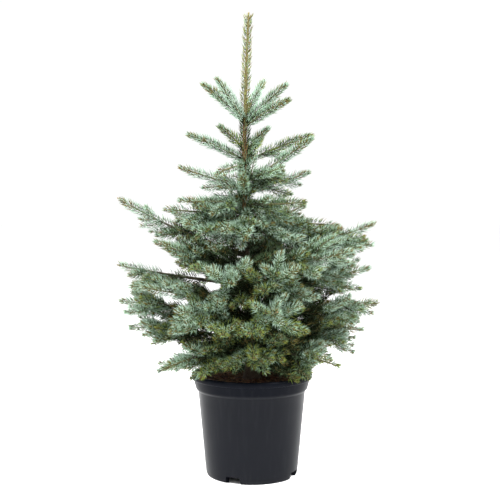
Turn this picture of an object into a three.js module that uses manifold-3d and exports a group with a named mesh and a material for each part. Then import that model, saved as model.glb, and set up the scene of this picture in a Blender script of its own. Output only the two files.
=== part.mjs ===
// Potted blue spruce: a young tree of 0.84 m in a round nursery pot of 280 mm.
// Units are millimetres, +Z is up, and the origin is the middle of the pot's flat underside.
// The pot and the compost are lathed. The trunk and the boughs are tapering limbs. Each mass of
// needles is one stem with side twigs in pairs, and every twig is a slim core that tufts of needles
// stand out of. The whole tree follows from the whorls and the twig rule below.
import * as THREE from "three";
import { mergeVertices } from "three/addons/utils/BufferGeometryUtils.js";
import Module from "manifold-3d";

const wasm = await Module();
wasm.setup();
const { Manifold } = wasm;

// ---------------------------------------------------------------- driving dimensions
const GAP = 0.3; // between neighbouring pieces

const POT = {
  height: 235,
  rimRadius: 140,
  mouthRadius: 131,
  lipDepth: 16,
  edge: 3,
  bandRadius: 135,
  bandDepth: 35,
  shoulderRadius: 124,
  shoulderDepth: 46,
  heelRadius: 106,
  heelHeight: 10,
  footRadius: 98,
  wall: 2,
  floor: 2.5,
  segments: 36,
};
const DRAIN = { count: 4, firstAzimuth: 66, width: 26, height: 9, from: 86, to: 116 };

const GROUND = 222; // height of the compost, where the trunk is cut flat
const COMPOST_EDGE_DROP = 5;

const TRUNK = {
  height: 840,
  footRadius: 15,
  leaderBase: 597,
  leaderRadius: 4.4,
  tipRadius: 2.4,
  flareRadius: 8,
  flareHeight: 16,
  lean: 16.5, // bow to -X
  leanTurns: 0.43,
  sway: 5, // bow to +Y
  swayTurns: 0.7,
  sides: 9,
  rings: 14,
};

// The needles that stand on the trunk itself: round the leader, and on the stem below it.
const SLEEVES = [
  { name: "leader_needles", from: 614, to: 837, radius: 5.6, pitch: 19, needle: 15, lean: 40 },
  { name: "upper_stem_needles", from: 545, to: 573, radius: 7.6, pitch: 14, needle: 20, lean: 64 },
];
const SLEEVE_SIDES = 5;

// Each limb of a whorl is [azimuth, reach, lift]: its direction, with 0 at +X and 90 at +Y, the level
// distance from the trunk's middle to its tip, and the tip's height over its foot. The limbs leave
// the trunk at the whorl's height, each a step below the one before, and bow upwards half way along.
// growth is the length at a limb's tip that bears no side twigs.
const WHORLS = [
  {
    name: "crown_whorl", height: 597, step: 4, radius: 2.6, bow: 4, growth: 140,
    limbs: [[60, 86, 96], [160, 102, 86], [222, 82, 90], [347, 94, 86], [322, 120, 50]],
  },
  {
    name: "crown_side", height: 528, step: 4, radius: 2.4, bow: 2, growth: 84,
    limbs: [[192, 56, 50], [19, 56, 52]],
  },
  {
    name: "second_whorl", height: 503, step: 4, radius: 3.2, bow: 4, growth: 128,
    limbs: [[188, 126, 56], [12, 156, 62], [71, 118, 66], [237, 112, -22]],
  },
  {
    name: "third_whorl", height: 450, step: 8, radius: 3.6, bow: -2, growth: 120,
    limbs: [
      [342, 156, 98], [178, 146, 44], [21, 158, 42], [268, 108, 38], [95, 140, 40], [206, 158, 0],
      [324, 160, 4],
    ],
  },
  {
    name: "fourth_whorl", height: 372, step: 9, radius: 4.2, bow: 2, growth: 84,
    limbs: [[202, 190, 18], [9, 216, -10], [255, 170, -10], [121, 180, 60], [41, 186, 62]],
  },
  {
    name: "fifth_whorl", height: 284, step: 8, radius: 5.6, bow: -10, growth: 94,
    limbs: [[177, 298, 132], [5, 300, 82], [212, 230, 50], [329, 262, 40], [76, 276, 84]],
  },
  {
    name: "sixth_whorl", height: 216, step: 7, radius: 6, bow: -4, growth: 84,
    limbs: [
      [179, 302, 46], [355, 276, 46], [122, 270, 60], [250, 240, 70], [296, 236, 80], [206, 256, 38],
    ],
  },
  {
    name: "seventh_whorl", height: 146, step: 6, radius: 6, bow: 0, growth: 84,
    limbs: [[179, 296, 32], [357, 302, 36], [235, 258, 44], [283, 262, 52], [58, 276, 58]],
  },
  {
    name: "lowest_whorl", height: 78, step: 6, radius: 5, bow: 12, growth: 76,
    limbs: [
      [175, 278, 36], [8, 264, 36], [213, 236, -28], [272, 212, 20], [330, 220, -8], [104, 262, 30],
      [50, 240, 6],
    ],
  },
];
const LIMB_TIP_RADIUS = 1.6;
const BOUGH = { leastReach: 275, share: 0.34, sides: 5 }; // a limb that reaches far starts as a bough

// The twig rule. Behind the growth a pair of side twigs leaves the stem at every node, and one of
// each pair droops. Angles are in degrees.
const RULE = {
  seed: 20,
  nodeStep: 36,
  stagger: 14,
  footClear: 12,
  lengthShare: 0.82, // of the length from the node to the limb's tip
  shortest: 52,
  longest: 124,
  shorter: [1, 0.8, 0.62], // a twig that has no room is tried shorter
  spread: [40, 56],
  rise: [8, 32],
  droop: [-44, -20],
  hook: 0.35, // how far a twig turns towards the limb's own direction
  twigGap: 15, // least distance between the twigs of two masses
  woodGap: 6, // and between a twig and a limb
};
const TWIG = { footRadius: 2.4, radius: 5, tipRadius: 2.4, pitch: 34, sides: 3, bare: 14 };
const NEEDLE = { length: 23, vary: 0.15, lean: 63, endLean: 30, gap: 3.4 }; // lean is from the twig

const FINISH = {
  pot: { color: 0x2c2d31, roughness: 0.42, metalness: 0 },
  compost: { color: 0x4a2f20, roughness: 0.95, metalness: 0 },
  bark: { color: 0x8a6f4d, roughness: 0.85, metalness: 0 },
  leader: { color: 0x9a9c62, roughness: 0.6, metalness: 0 },
  needles: { color: 0x7d9b94, roughness: 0.6, metalness: 0 },
};

// ---------------------------------------------------------------- helpers
const UP = new THREE.Vector3(0, 0, 1);
const { degToRad, lerp, clamp, seededRandom } = THREE.MathUtils;
const beyond = (start, direction, distance) => start.clone().addScaledVector(direction, distance);

// A number from 0 to 1 that depends only on its whole-number keys.
const chance = (...keys) => seededRandom(keys.reduce((sum, key) => 37 * sum + key, RULE.seed));

// The part of a vector that is square to a direction, at length 1.
function squareTo(direction, vector) {
  return beyond(vector, direction, -vector.dot(direction)).normalize();
}

// The level direction to the left of a line, or near +X where the line stands upright.
function leftOf(direction) {
  if (Math.abs(direction.z) > 0.9) return squareTo(direction, new THREE.Vector3(1, 0, 0));
  return new THREE.Vector3().crossVectors(UP, direction).normalize();
}

// A solid of revolution round +Z, with its seam closed.
function lathe(profile, segments) {
  const points = profile.map(([radius, height]) => new THREE.Vector2(radius, height));
  const turned = new THREE.LatheGeometry(points, segments).rotateX(Math.PI / 2);
  turned.deleteAttribute("normal");
  turned.deleteAttribute("uv");
  return mergeVertices(turned);
}

// Moves every corner of a geometry to the place that placeOf gives for it.
function moveCorners(geometry, placeOf) {
  const corners = geometry.getAttribute("position");
  for (let i = 0; i < corners.count; i++) {
    const place = placeOf(new THREE.Vector3().fromBufferAttribute(corners, i));
    corners.setXYZ(i, place.x, place.y, place.z);
  }
  return geometry;
}

// Bends an upright lathe, whose height runs from 0 to 1, onto a curve's stretch between two shares
// of it. The rings stand square to the curve, and twist turns the last one against the first.
function bend(geometry, curve, from, to, twist = 0) {
  const left = leftOf(curve.getTangent(0.5));
  return moveCorners(geometry, (corner) => {
    const share = lerp(from, to, corner.z);
    const tangent = curve.getTangent(share);
    const across = squareTo(tangent, left);
    const ring = new THREE.Vector2(corner.x, corner.y).rotateAround(new THREE.Vector2(), twist * corner.z);
    const place = beyond(curve.getPoint(share), across, ring.x);
    return place.addScaledVector(new THREE.Vector3().crossVectors(tangent, across), ring.y);
  });
}

function toSolid(geometry) {
  const merged = geometry.index ? geometry : mergeVertices(geometry);
  return new Manifold(new wasm.Mesh({
    numProp: 3,
    vertProperties: merged.attributes.position.array,
    triVerts: new Uint32Array(merged.index.array),
  }));
}

function toGeometry(solid) {
  const mesh = solid.getMesh();
  const geometry = new THREE.BufferGeometry();
  geometry.setAttribute("position", new THREE.BufferAttribute(mesh.vertProperties, 3));
  geometry.setIndex(new THREE.BufferAttribute(mesh.triVerts, 1));
  geometry.computeVertexNormals();
  return geometry;
}

function namedMesh(name, solid, finish) {
  const mesh = new THREE.Mesh(toGeometry(solid), new THREE.MeshStandardMaterial(finish));
  mesh.name = name;
  return mesh;
}

// ---------------------------------------------------------------- pot and compost
const SHOULDER = POT.height - POT.shoulderDepth;
const LIP = POT.height - POT.lipDepth;

// The radius of the pot's inner wall at a height.
function innerRadius(height) {
  const atHeel = POT.heelRadius - POT.wall;
  const atShoulder = POT.shoulderRadius - POT.wall;
  if (height > SHOULDER)
    return lerp(atShoulder, POT.mouthRadius, Math.min(1, (height - SHOULDER) / (LIP - SHOULDER)));
  return lerp(atHeel, atShoulder, (height - POT.heelHeight) / (SHOULDER - POT.heelHeight));
}

// A tapering pot with a band and a rolled lip at its mouth, and drain notches in its foot.
function potSolid() {
  const shell = toSolid(lathe([
    [0, 0],
    [POT.footRadius, 0],
    [POT.heelRadius, POT.heelHeight],
    [POT.shoulderRadius, SHOULDER],
    [POT.bandRadius - POT.edge, POT.height - POT.bandDepth],
    [POT.bandRadius, LIP],
    [POT.rimRadius, LIP],
    [POT.rimRadius, POT.height - POT.edge],
    [POT.rimRadius - POT.edge, POT.height],
    [POT.mouthRadius, POT.height],
    [POT.mouthRadius, LIP],
    [innerRadius(SHOULDER), SHOULDER],
    [innerRadius(POT.floor), POT.floor],
    [0, POT.floor],
  ], POT.segments));
  const box = new THREE.BoxGeometry(DRAIN.to - DRAIN.from, DRAIN.width, 2 * DRAIN.height);
  box.deleteAttribute("normal");
  box.deleteAttribute("uv");
  const notch = toSolid(mergeVertices(box)).translate([(DRAIN.from + DRAIN.to) / 2, 0, 0]);
  const notches = Array.from({ length: DRAIN.count }, (_, i) =>
    notch.rotate([0, 0, DRAIN.firstAzimuth + (360 * i) / DRAIN.count]));
  return shell.subtract(Manifold.union(notches));
}

// The fill of the pot, level round the trunk and a little lower at its edge.
function compostSolid() {
  const floor = POT.floor + GAP;
  const edge = GROUND - COMPOST_EDGE_DROP;
  return toSolid(lathe([
    [0, floor],
    [innerRadius(floor) - GAP, floor],
    [innerRadius(SHOULDER) - GAP, SHOULDER],
    [innerRadius(edge) - GAP, edge],
    [POT.mouthRadius / 2, GROUND],
    [0, GROUND],
  ], POT.segments));
}

// ---------------------------------------------------------------- trunk and limbs
// The trunk's middle line over the ground, which bows a little as it rises.
class TrunkLine extends THREE.Curve {
  getPoint(share, target = new THREE.Vector3()) {
    const lean = -TRUNK.lean * Math.sin(2 * Math.PI * TRUNK.leanTurns * share);
    const sway = TRUNK.sway * Math.sin(2 * Math.PI * TRUNK.swayTurns * share);
    return target.set(lean, sway, TRUNK.height * share);
  }
}
const trunkLine = new TrunkLine();
const trunkAt = (height) => trunkLine.getPoint(height / TRUNK.height);

function trunkRadius(height) {
  if (height > TRUNK.leaderBase) {
    const upLeader = (height - TRUNK.leaderBase) / (TRUNK.height - TRUNK.leaderBase);
    return lerp(TRUNK.leaderRadius, TRUNK.tipRadius, upLeader);
  }
  const flare = TRUNK.flareRadius * Math.max(0, 1 - height / (3 * TRUNK.flareHeight)) ** 2;
  return flare + lerp(TRUNK.footRadius, TRUNK.leaderRadius, (height / TRUNK.leaderBase) ** 0.8);
}

// The trunk's rings stay level, so its cut at the ground is flat. swell widens it all round.
function trunkSolid(swell = 0) {
  const even = Array.from({ length: TRUNK.rings }, (_, i) => (TRUNK.height * (i + 1)) / TRUNK.rings);
  const rings = [GAP, TRUNK.flareHeight, ...even].map((height) => [trunkRadius(height) + swell, height]);
  const upright = lathe([[0, GAP], ...rings, [0, TRUNK.height]], TRUNK.sides);
  return toSolid(moveCorners(upright, (corner) => corner.add(trunkAt(corner.z).setZ(0))));
}
const trunkAndGap = trunkSolid(GAP);

function limbCurve(azimuth, reach, lift, footHeight, bow) {
  const foot = trunkAt(footHeight);
  const out = new THREE.Vector3(Math.cos(degToRad(azimuth)), Math.sin(degToRad(azimuth)), 0);
  const tip = beyond(foot, out, reach).addScaledVector(UP, lift);
  const middle = foot.clone().lerp(tip, 0.5).addScaledVector(UP, 2 * bow);
  return new THREE.QuadraticBezierCurve3(foot, middle, tip);
}

// boughShare is the share of the limb that its bough takes up.
const limbs = WHORLS.flatMap((whorl, w) => whorl.limbs.map(([azimuth, reach, lift], i) => {
  const footHeight = whorl.height - whorl.step * i;
  return {
    name: `${whorl.name}_${i + 1}`,
    keys: [w, i],
    curve: limbCurve(azimuth, reach, lift, footHeight, whorl.bow),
    length: Math.hypot(reach, lift),
    radius: whorl.radius,
    bareFoot: trunkRadius(footHeight) + 2,
    growth: whorl.growth,
    boughShare: reach >= BOUGH.leastReach ? BOUGH.share : 0,
  };
}));

const limbRadius = (limb, share) => lerp(limb.radius, LIMB_TIP_RADIUS, share ** 0.8);

function boughSolid(limb) {
  const rings = [0, 0.5, 1].map((share) => [limbRadius(limb, share * limb.boughShare), share]);
  const upright = lathe([[0, 0], ...rings, [0, 1]], BOUGH.sides);
  return toSolid(bend(upright, limb.curve, 0, limb.boughShare)).subtract(trunkAndGap);
}

// ---------------------------------------------------------------- the twigs of each mass
// A twig is a curve from a share of it to its end, with points along it and a foot without needles.
function makeTwig(curve, from, length, footRadius, bare) {
  const count = Math.max(2, Math.round(length / TWIG.pitch));
  const points = Array.from({ length: count + 1 }, (_, i) => curve.getPoint(lerp(from, 1, i / count)));
  return { curve, from, count, points, footRadius, bare };
}

// The rest of a limb past its bough's tip, or all of it from the trunk.
function stemOf(limb) {
  const from = limb.boughShare > 0 ? limb.boughShare + GAP / limb.length : 0;
  const bare = limb.boughShare > 0 ? 0 : limb.bareFoot;
  return makeTwig(limb.curve, from, limb.length * (1 - from), limbRadius(limb, from), bare);
}

function sideTwig(limb, share, side, droops, length, keys) {
  const foot = limb.curve.getPoint(share);
  const forward = limb.curve.getTangent(share);
  const left = leftOf(forward);
  const upwards = new THREE.Vector3().crossVectors(forward, left);
  const spread = degToRad(lerp(...RULE.spread, chance(...keys, 2)));
  const tilt = degToRad(lerp(...(droops ? RULE.droop : RULE.rise), chance(...keys, 3)));
  const outward = left.multiplyScalar(side * Math.cos(tilt)).addScaledVector(upwards, Math.sin(tilt));
  const leaving = outward.multiplyScalar(Math.sin(spread)).addScaledVector(forward, Math.cos(spread));
  const ending = beyond(leaving, forward, RULE.hook).normalize();
  const middle = beyond(foot, leaving, length / 2);
  const curve = new THREE.QuadraticBezierCurve3(foot, middle, beyond(middle, ending, length / 2));
  return makeTwig(curve, 0, length, TWIG.footRadius, TWIG.bare);
}

function distanceToLine(point, points) {
  const nearest = new THREE.Vector3();
  const distances = points.slice(1).map((end, i) =>
    new THREE.Line3(points[i], end).closestPointToPoint(point, true, nearest).distanceTo(point));
  return Math.min(...distances);
}

// The trunk, its sleeves and the boughs, as lines with a radius.
const trunkStretches = WHORLS.map((whorl, w) => {
  const low = WHORLS[w + 1]?.height ?? 0;
  return { points: [trunkAt(low), trunkAt(whorl.height)], radius: trunkRadius((low + whorl.height) / 2) };
});
const wood = [
  ...trunkStretches,
  ...SLEEVES.map(({ from, to, radius }) => ({ points: [trunkAt(from), trunkAt(to)], radius })),
  ...limbs.filter((limb) => limb.boughShare > 0).map((limb) => ({
    points: [0, 0.5, 1].map((share) => limb.curve.getPoint(share * limb.boughShare)),
    radius: limbRadius(limb, limb.boughShare / 2),
  })),
];
const clearOfWood = (point, gap) =>
  wood.every((line) => distanceToLine(point, line.points) > line.radius + gap);

// True over the pot's rim, or outside it.
function clearOfPot(point, gap) {
  const isOver = point.z + GROUND > POT.height + gap;
  return isOver || Math.hypot(point.x, point.y) > POT.rimRadius + gap;
}

const masses = limbs.map((limb) => ({ limb, twigs: [stemOf(limb)] }));

function twigHasRoom(twig, own) {
  const others = masses.filter((mass) => mass !== own).flatMap((mass) => mass.twigs);
  return twig.points.slice(1).every((point) =>
    clearOfPot(point, RULE.woodGap)
    && clearOfWood(point, RULE.woodGap)
    && others.every((other) => distanceToLine(point, other.points) > RULE.twigGap));
}

function growTwigs(mass) {
  const { limb, twigs } = mass;
  const bearing = limb.length * (1 - limb.boughShare) - RULE.footClear - limb.bareFoot;
  for (let node = 0; limb.growth + node * RULE.nodeStep < bearing; node++) {
    const fromTip = limb.growth + node * RULE.nodeStep;
    for (const side of [-1, 1]) {
      const keys = [...limb.keys, node, side + 1];
      const share = 1 - (fromTip + RULE.stagger * (chance(...keys, 1) - 0.5)) / limb.length;
      const wanted = clamp(RULE.lengthShare * fromTip, RULE.shortest, RULE.longest);
      const length = wanted * lerp(0.88, 1.12, chance(...keys, 4));
      const droops = (node + (side + 3) / 2) % 2 === 0;
      const twig = RULE.shorter
        .map((part) => sideTwig(limb, share, side, droops, length * part, keys))
        .find((candidate) => twigHasRoom(candidate, mass));
      if (twig) twigs.push(twig);
    }
  }
}
masses.forEach(growTwigs);

// ---------------------------------------------------------------- needles
// True where a point is nearer to its own mass than to any other.
function isOwnSpace(point, own) {
  const distance = (mass) => Math.min(...mass.twigs.map((twig) => distanceToLine(point, twig.points)));
  const mine = distance(own) + 2 * NEEDLE.gap;
  return masses.every((mass) => mass === own || distance(mass) > mine);
}

// Draws every second side face of a bent lathe of so many rings out to a tuft, where tuftTip gives
// a place for its tip.
function growTufts(core, rings, tuftTip) {
  const corners = core.getAttribute("position");
  const cornerOf = (face, k) =>
    new THREE.Vector3().fromBufferAttribute(corners, core.index.getX(3 * face + k));
  const triangles = [];
  for (let face = 0; 3 * face < core.index.count; face++) {
    const [a, b, c] = [cornerOf(face, 0), cornerOf(face, 1), cornerOf(face, 2)];
    const row = Math.floor(face / 2) % (rings + 1);
    const mayCarry = face % 2 === 0 && row > 0 && row < rings;
    const middle = new THREE.Triangle(a, b, c).getMidpoint(new THREE.Vector3());
    const tip = mayCarry ? tuftTip(middle, (row - 1) / (rings - 1), face) : null;
    if (tip) triangles.push(a, b, tip, b, c, tip, c, a, tip);
    else triangles.push(a, b, c);
  }
  return toSolid(new THREE.BufferGeometry().setFromPoints(triangles));
}

// The tip of a tuft that stands on a core at its middle, leaning towards the curve's end.
function leaningTip(middle, curve, share, lean, length) {
  const tangent = curve.getTangent(share);
  const out = squareTo(tangent, middle.clone().sub(curve.getPoint(share)));
  const slope = degToRad(lean);
  return beyond(beyond(middle, out, length * Math.sin(slope)), tangent, length * Math.cos(slope));
}

function twigSolid(twig, mass, ordinal) {
  const radiusAt = (i) => [twig.footRadius, TWIG.tipRadius][[0, twig.count].indexOf(i)] ?? TWIG.radius;
  const rings = Array.from({ length: twig.count + 1 }, (_, i) => [radiusAt(i), i / twig.count]);
  const upright = lathe([[0, 0], ...rings, [0, 1]], TWIG.sides);
  const core = bend(upright, twig.curve, twig.from, 1, (Math.PI * twig.count) / TWIG.sides);
  return growTufts(core, rings.length, (middle, up, face) => {
    if (middle.distanceTo(twig.points[0]) < twig.bare) return null;
    const length = NEEDLE.length * lerp(1 - NEEDLE.vary, 1 + NEEDLE.vary, chance(ordinal, face));
    const lean = lerp(NEEDLE.lean, NEEDLE.endLean, up ** 3);
    const tip = leaningTip(middle, twig.curve, lerp(twig.from, 1, up), lean, length);
    const isFree = [tip, middle.clone().lerp(tip, 0.5)].every((point) =>
      clearOfPot(point, NEEDLE.gap) && clearOfWood(point, NEEDLE.gap) && isOwnSpace(point, mass));
    return isFree ? tip : null;
  });
}

function massSolid(mass) {
  const fused = Manifold.union(mass.twigs.map((twig, i) => twigSolid(twig, mass, i)));
  return fused.subtract(trunkAndGap);
}

// A sleeve of needles whose core the trunk runs through.
function sleeveSolid({ from, to, radius, pitch, needle, lean }) {
  const count = Math.round((to - from) / pitch);
  const rings = Array.from({ length: count + 1 }, (_, i) => [radius * lerp(1, 0.75, i / count), i / count]);
  const upright = lathe([[0, 0], ...rings, [0, 1]], SLEEVE_SIDES);
  const [low, high] = [from / TRUNK.height, to / TRUNK.height];
  const core = bend(upright, trunkLine, low, high, (Math.PI * count) / SLEEVE_SIDES);
  const own = { twigs: [{ points: [trunkAt(from), trunkAt(to)] }] };
  const sleeve = growTufts(core, rings.length, (middle, up) => {
    const tip = leaningTip(middle, trunkLine, lerp(low, high, up), lean, needle);
    return isOwnSpace(tip, own) ? tip : null;
  });
  return sleeve.subtract(trunkAndGap);
}

// ---------------------------------------------------------------- assembly
const tree = new THREE.Group();
tree.position.z = GROUND;
tree.add(namedMesh("trunk", trunkSolid(), FINISH.bark));
for (const sleeve of SLEEVES)
  tree.add(namedMesh(sleeve.name, sleeveSolid(sleeve), FINISH.leader));
for (const limb of limbs.filter(({ boughShare }) => boughShare > 0))
  tree.add(namedMesh(`${limb.name}_bough`, boughSolid(limb), FINISH.bark));
for (const mass of masses)
  tree.add(namedMesh(`${mass.limb.name}_needles`, massSolid(mass), FINISH.needles));

const pottedSpruce = new THREE.Group();
pottedSpruce.add(namedMesh("pot", potSolid(), FINISH.pot));
pottedSpruce.add(namedMesh("compost", compostSolid(), FINISH.compost));
pottedSpruce.add(tree);

export default pottedSpruce;
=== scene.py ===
"""Potted blue spruce: the finish of a young tree in a round nursery pot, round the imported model."""

import math
from functools import lru_cache

import bpy
import numpy as np
from bpy.props import FloatProperty, FloatVectorProperty, IntProperty, PointerProperty
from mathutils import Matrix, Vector, noise


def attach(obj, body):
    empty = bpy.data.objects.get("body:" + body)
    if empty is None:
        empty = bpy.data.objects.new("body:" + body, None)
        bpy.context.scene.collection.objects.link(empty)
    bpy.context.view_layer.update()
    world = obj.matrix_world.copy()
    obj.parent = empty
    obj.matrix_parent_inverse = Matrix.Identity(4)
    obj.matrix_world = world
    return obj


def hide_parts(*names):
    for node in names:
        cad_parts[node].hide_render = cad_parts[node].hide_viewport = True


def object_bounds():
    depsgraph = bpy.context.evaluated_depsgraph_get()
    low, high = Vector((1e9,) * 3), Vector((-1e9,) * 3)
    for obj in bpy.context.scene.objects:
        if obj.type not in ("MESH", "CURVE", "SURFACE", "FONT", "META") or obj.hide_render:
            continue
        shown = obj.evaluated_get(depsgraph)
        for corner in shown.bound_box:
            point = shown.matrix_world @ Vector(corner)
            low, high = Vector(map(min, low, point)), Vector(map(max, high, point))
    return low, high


bl_info = {
    "name": "Potted blue spruce",
    "version": (1, 0, 0),
    "blender": (4, 5, 0),
    "location": "3D View > Sidebar > Spruce",
    "description": "Builds the pot, compost, bark, twigs and needles of a young potted spruce",
    "category": "Object",
}

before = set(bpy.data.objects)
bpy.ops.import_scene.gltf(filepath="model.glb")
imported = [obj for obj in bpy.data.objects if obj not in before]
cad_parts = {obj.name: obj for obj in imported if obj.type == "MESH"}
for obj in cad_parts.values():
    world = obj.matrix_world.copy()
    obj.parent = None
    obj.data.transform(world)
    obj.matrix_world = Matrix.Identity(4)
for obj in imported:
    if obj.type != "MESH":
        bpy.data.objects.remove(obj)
CAD_BOX = [list(corner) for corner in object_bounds()]

MM = 0.001
GOLDEN_ANGLE = math.pi * (3 - math.sqrt(5))


def linear(code):
    """The linear colour of an sRGB hex value."""
    parts = (int(code[i : i + 2], 16) / 255 for i in (1, 3, 5))
    return [c / 12.92 if c <= 0.04045 else ((c + 0.055) / 1.055) ** 2.4 for c in parts]


# ---------------------------------------------------------------- the tree's own numbers, in mm
GROUND = 222  # the compost's height; heights on the tree count from here
TRUNK = {
    "height": 840, "foot_radius": 15, "leader_base": 597, "leader_radius": 4.4, "tip_radius": 2.4,
    "flare_radius": 8, "flare_height": 16, "lean": 16.5, "lean_turns": 0.43, "sway": 5, "sway_turns": 0.7,
}

# Each limb is (azimuth, reach, lift). The limbs of a whorl leave the trunk a step below each other and
# bow upwards half way along. growth is the length at a limb's tip that bears no side twigs.
WHORLS = [
    {"name": "crown_whorl", "height": 597, "step": 4, "radius": 2.6, "bow": 4, "growth": 140,
     "limbs": [(60, 86, 96), (160, 102, 86), (222, 82, 90), (347, 94, 86), (322, 120, 50)]},
    {"name": "crown_side", "height": 528, "step": 4, "radius": 2.4, "bow": 2, "growth": 84,
     "limbs": [(192, 56, 50), (19, 56, 52)]},
    {"name": "second_whorl", "height": 503, "step": 4, "radius": 3.2, "bow": 4, "growth": 128,
     "limbs": [(188, 126, 56), (12, 156, 62), (71, 118, 66), (237, 112, -22)]},
    {"name": "third_whorl", "height": 450, "step": 8, "radius": 3.6, "bow": -2, "growth": 120,
     "limbs": [(342, 156, 98), (178, 146, 44), (21, 158, 42), (268, 108, 38), (95, 140, 40),
               (206, 158, 0), (324, 160, 4)]},
    {"name": "fourth_whorl", "height": 372, "step": 9, "radius": 4.2, "bow": 2, "growth": 84,
     "limbs": [(202, 190, 18), (9, 216, -10), (255, 170, -10), (121, 180, 60), (41, 186, 62)]},
    {"name": "fifth_whorl", "height": 284, "step": 8, "radius": 5.6, "bow": -10, "growth": 94,
     "limbs": [(177, 298, 132), (5, 300, 82), (212, 230, 50), (329, 262, 40), (76, 276, 84)]},
    {"name": "sixth_whorl", "height": 216, "step": 7, "radius": 6, "bow": -4, "growth": 84,
     "limbs": [(179, 302, 46), (355, 276, 46), (122, 270, 60), (250, 240, 70), (296, 236, 80),
               (206, 256, 38)]},
    {"name": "seventh_whorl", "height": 146, "step": 6, "radius": 6, "bow": 0, "growth": 84,
     "limbs": [(179, 296, 32), (357, 302, 36), (235, 258, 44), (283, 262, 52), (58, 276, 58)]},
    {"name": "lowest_whorl", "height": 78, "step": 6, "radius": 5, "bow": 12, "growth": 76,
     "limbs": [(175, 278, 36), (8, 264, 36), (213, 236, -28), (272, 212, 20), (330, 220, -8),
               (104, 262, 30), (50, 240, 6)]},
]
LIMB_TIP_RADIUS = 1.3
TAPER = 0.8  # a stem thins by this power of the share of its length
BOUGH = {"least_reach": 275, "share": 0.34, "gap": 0.3}

# The twig rule: behind the growth a pair of side twigs leaves the stem at every node. Chance picks from a
# pair of numbers, and a twig that has no room is tried again at each share in shorter.
RULE = {
    "seed": 20, "node_step": 36, "stagger": 14, "foot_clear": 12, "length_share": 0.82, "shortest": 52,
    "longest": 124, "varies": (0.88, 1.12), "shorter": (1, 0.8, 0.62), "spread": (40, 56), "rise": (8, 32),
    "droop": (-44, -20), "hook": 0.35, "twig_gap": 15, "wood_gap": 6, "pitch": 34, "bare": 14,
    "radii": (1.8, 1.0),
    # High in the crown the outermost twigs stay this much shorter, so that sky shows between the limbs.
    "rise_share": 0.5, "droop_share": 0.95, "aged_share": 1.1, "aging": 120, "young_over": 230,
}
# The same rule carried one order further, on the side twigs.
FINE = {
    "growth": 42, "node_step": 27, "foot_clear": 8, "length_share": 0.78, "shortest": 26, "longest": 58,
    "varies": (0.85, 1.15), "stagger": 8, "rise": (4, 32), "droop": (-36, -8), "droop_chance": 0.4,
    "twig_gap": 12, "pull": 0.9, "bare": 5, "radii": (1.1, 0.7), "key": 11,
    "highest": 430,  # limbs that leave the trunk over this height are too young to bear fine twigs
}
# Older twigs stand all round the inner part of a limb, from near the trunk out to a share of it.
INNER = {
    "from_trunk": 14, "most_share": 0.66, "node_step": 14, "length": (44, 90), "tilt": (-86, 84),
    "hanging_tilt": (-90, 10), "hanging_below": 90, "hanging_lift": 22, "full_pull": 140, "twig_gap": 7,
    "key": 23,
}
# Near the tips of the long lower limbs a pair of twigs points forward, one over the stem and one under it.
# Three long limbs of the third whorl bear only the one under it.
PAIRS = {
    "least_reach": 250, "under": 230, "from_tip": (66, 78), "length": (50, 60), "spread": 34, "tilt": 66,
    "pull": 0.5, "gap": 8, "one_under": ((3, 2), (3, 5), (3, 6)),  # whorl and limb, counted from 0
}
# Short twigs leave the trunk itself between the whorls.
BETWEEN = {
    "lowest": 32, "highest": 486, "step": 6, "length": (58, 106), "rise": (-20, 34), "bow": 4, "gap": 5,
    "bare": 4, "radii": (1.4, 0.7), "key": 31,
    "shrink": (0.4, 500),  # the share by which a twig at the second number's height is shorter
    "aim_weight": 60,  # mm of height that a limb's direction counts for, where a limb is picked for a twig
}
LEADER_BUDS = ((806, 20), (776, 200), (770, 350), (735, 190), (690, 80), (660, 300))  # height, azimuth
# The masses of needles on the trunk itself: the heights of foot and top, and the radius that is kept clear.
STEM_MASSES = ((614, 837, 5.6), (545, 573, 7.6))

POT_RIM = (235, 140)  # height and radius that the twigs keep clear of

# Places where the sky shows between the limbs to an eye in front, at the trunk's distance: the middle's x
# and height, half the width and half the height. No twig grows into them. Stems and boughs cross them,
# with some of the stems' needles.
EYE = (-4, -2200, 388)
SKY = (
    (-233, 278, 32, 15), (-272, 283, 30, 15), (-198, 255, 28, 12), (-131, 235, 23, 10),
    (-90, 214, 18, 10), (-196, 190, 12, 12), (-157, 177, 12, 6), (-260, 327, 30, 16),
    (-278, 359, 21, 10), (-211, 391, 16, 16), (-195, 362, 12, 9), (-156, 401, 16, 8),
    (-147, 389, 16, 8), (-138, 433, 25, 7), (-57, 488, 23, 14), (-98, 467, 9, 9), (24, 529, 14, 9),
    (49, 543, 18, 9), (37, 502, 23, 9), (93, 488, 16, 9), (150, 412, 21, 7), (104, 394, 16, 8),
    (155, 362, 18, 8), (199, 368, 28, 9), (226, 362, 21, 16), (248, 109, 18, 7), (253, 188, 21, 9),
    (252, 232, 16, 12), (177, 14, 32, 21), (-185, 72, 16, 12), (-206, 53, 16, 9), (-157, 7, 14, 7),
    (-247, 86, 12, 9), (-302, 244, 12, 9),
)
SKY_GAP = 4  # how far round these places no twig grows
SKY_TESTS = (0.15, 1, 10)  # the first and last share of a twig that is tested, and at how many places

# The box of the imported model, in mm over the ground.
BOX_LOW, BOX_HIGH = (np.array(corner) / MM - [0, 0, GROUND] for corner in CAD_BOX)


# ---------------------------------------------------------------- lines and chances
def lerp(low, high, share):
    return low + (high - low) * share


def unit(vectors):
    return vectors / np.maximum(np.linalg.norm(vectors, axis=-1, keepdims=True), 1e-12)


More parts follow.
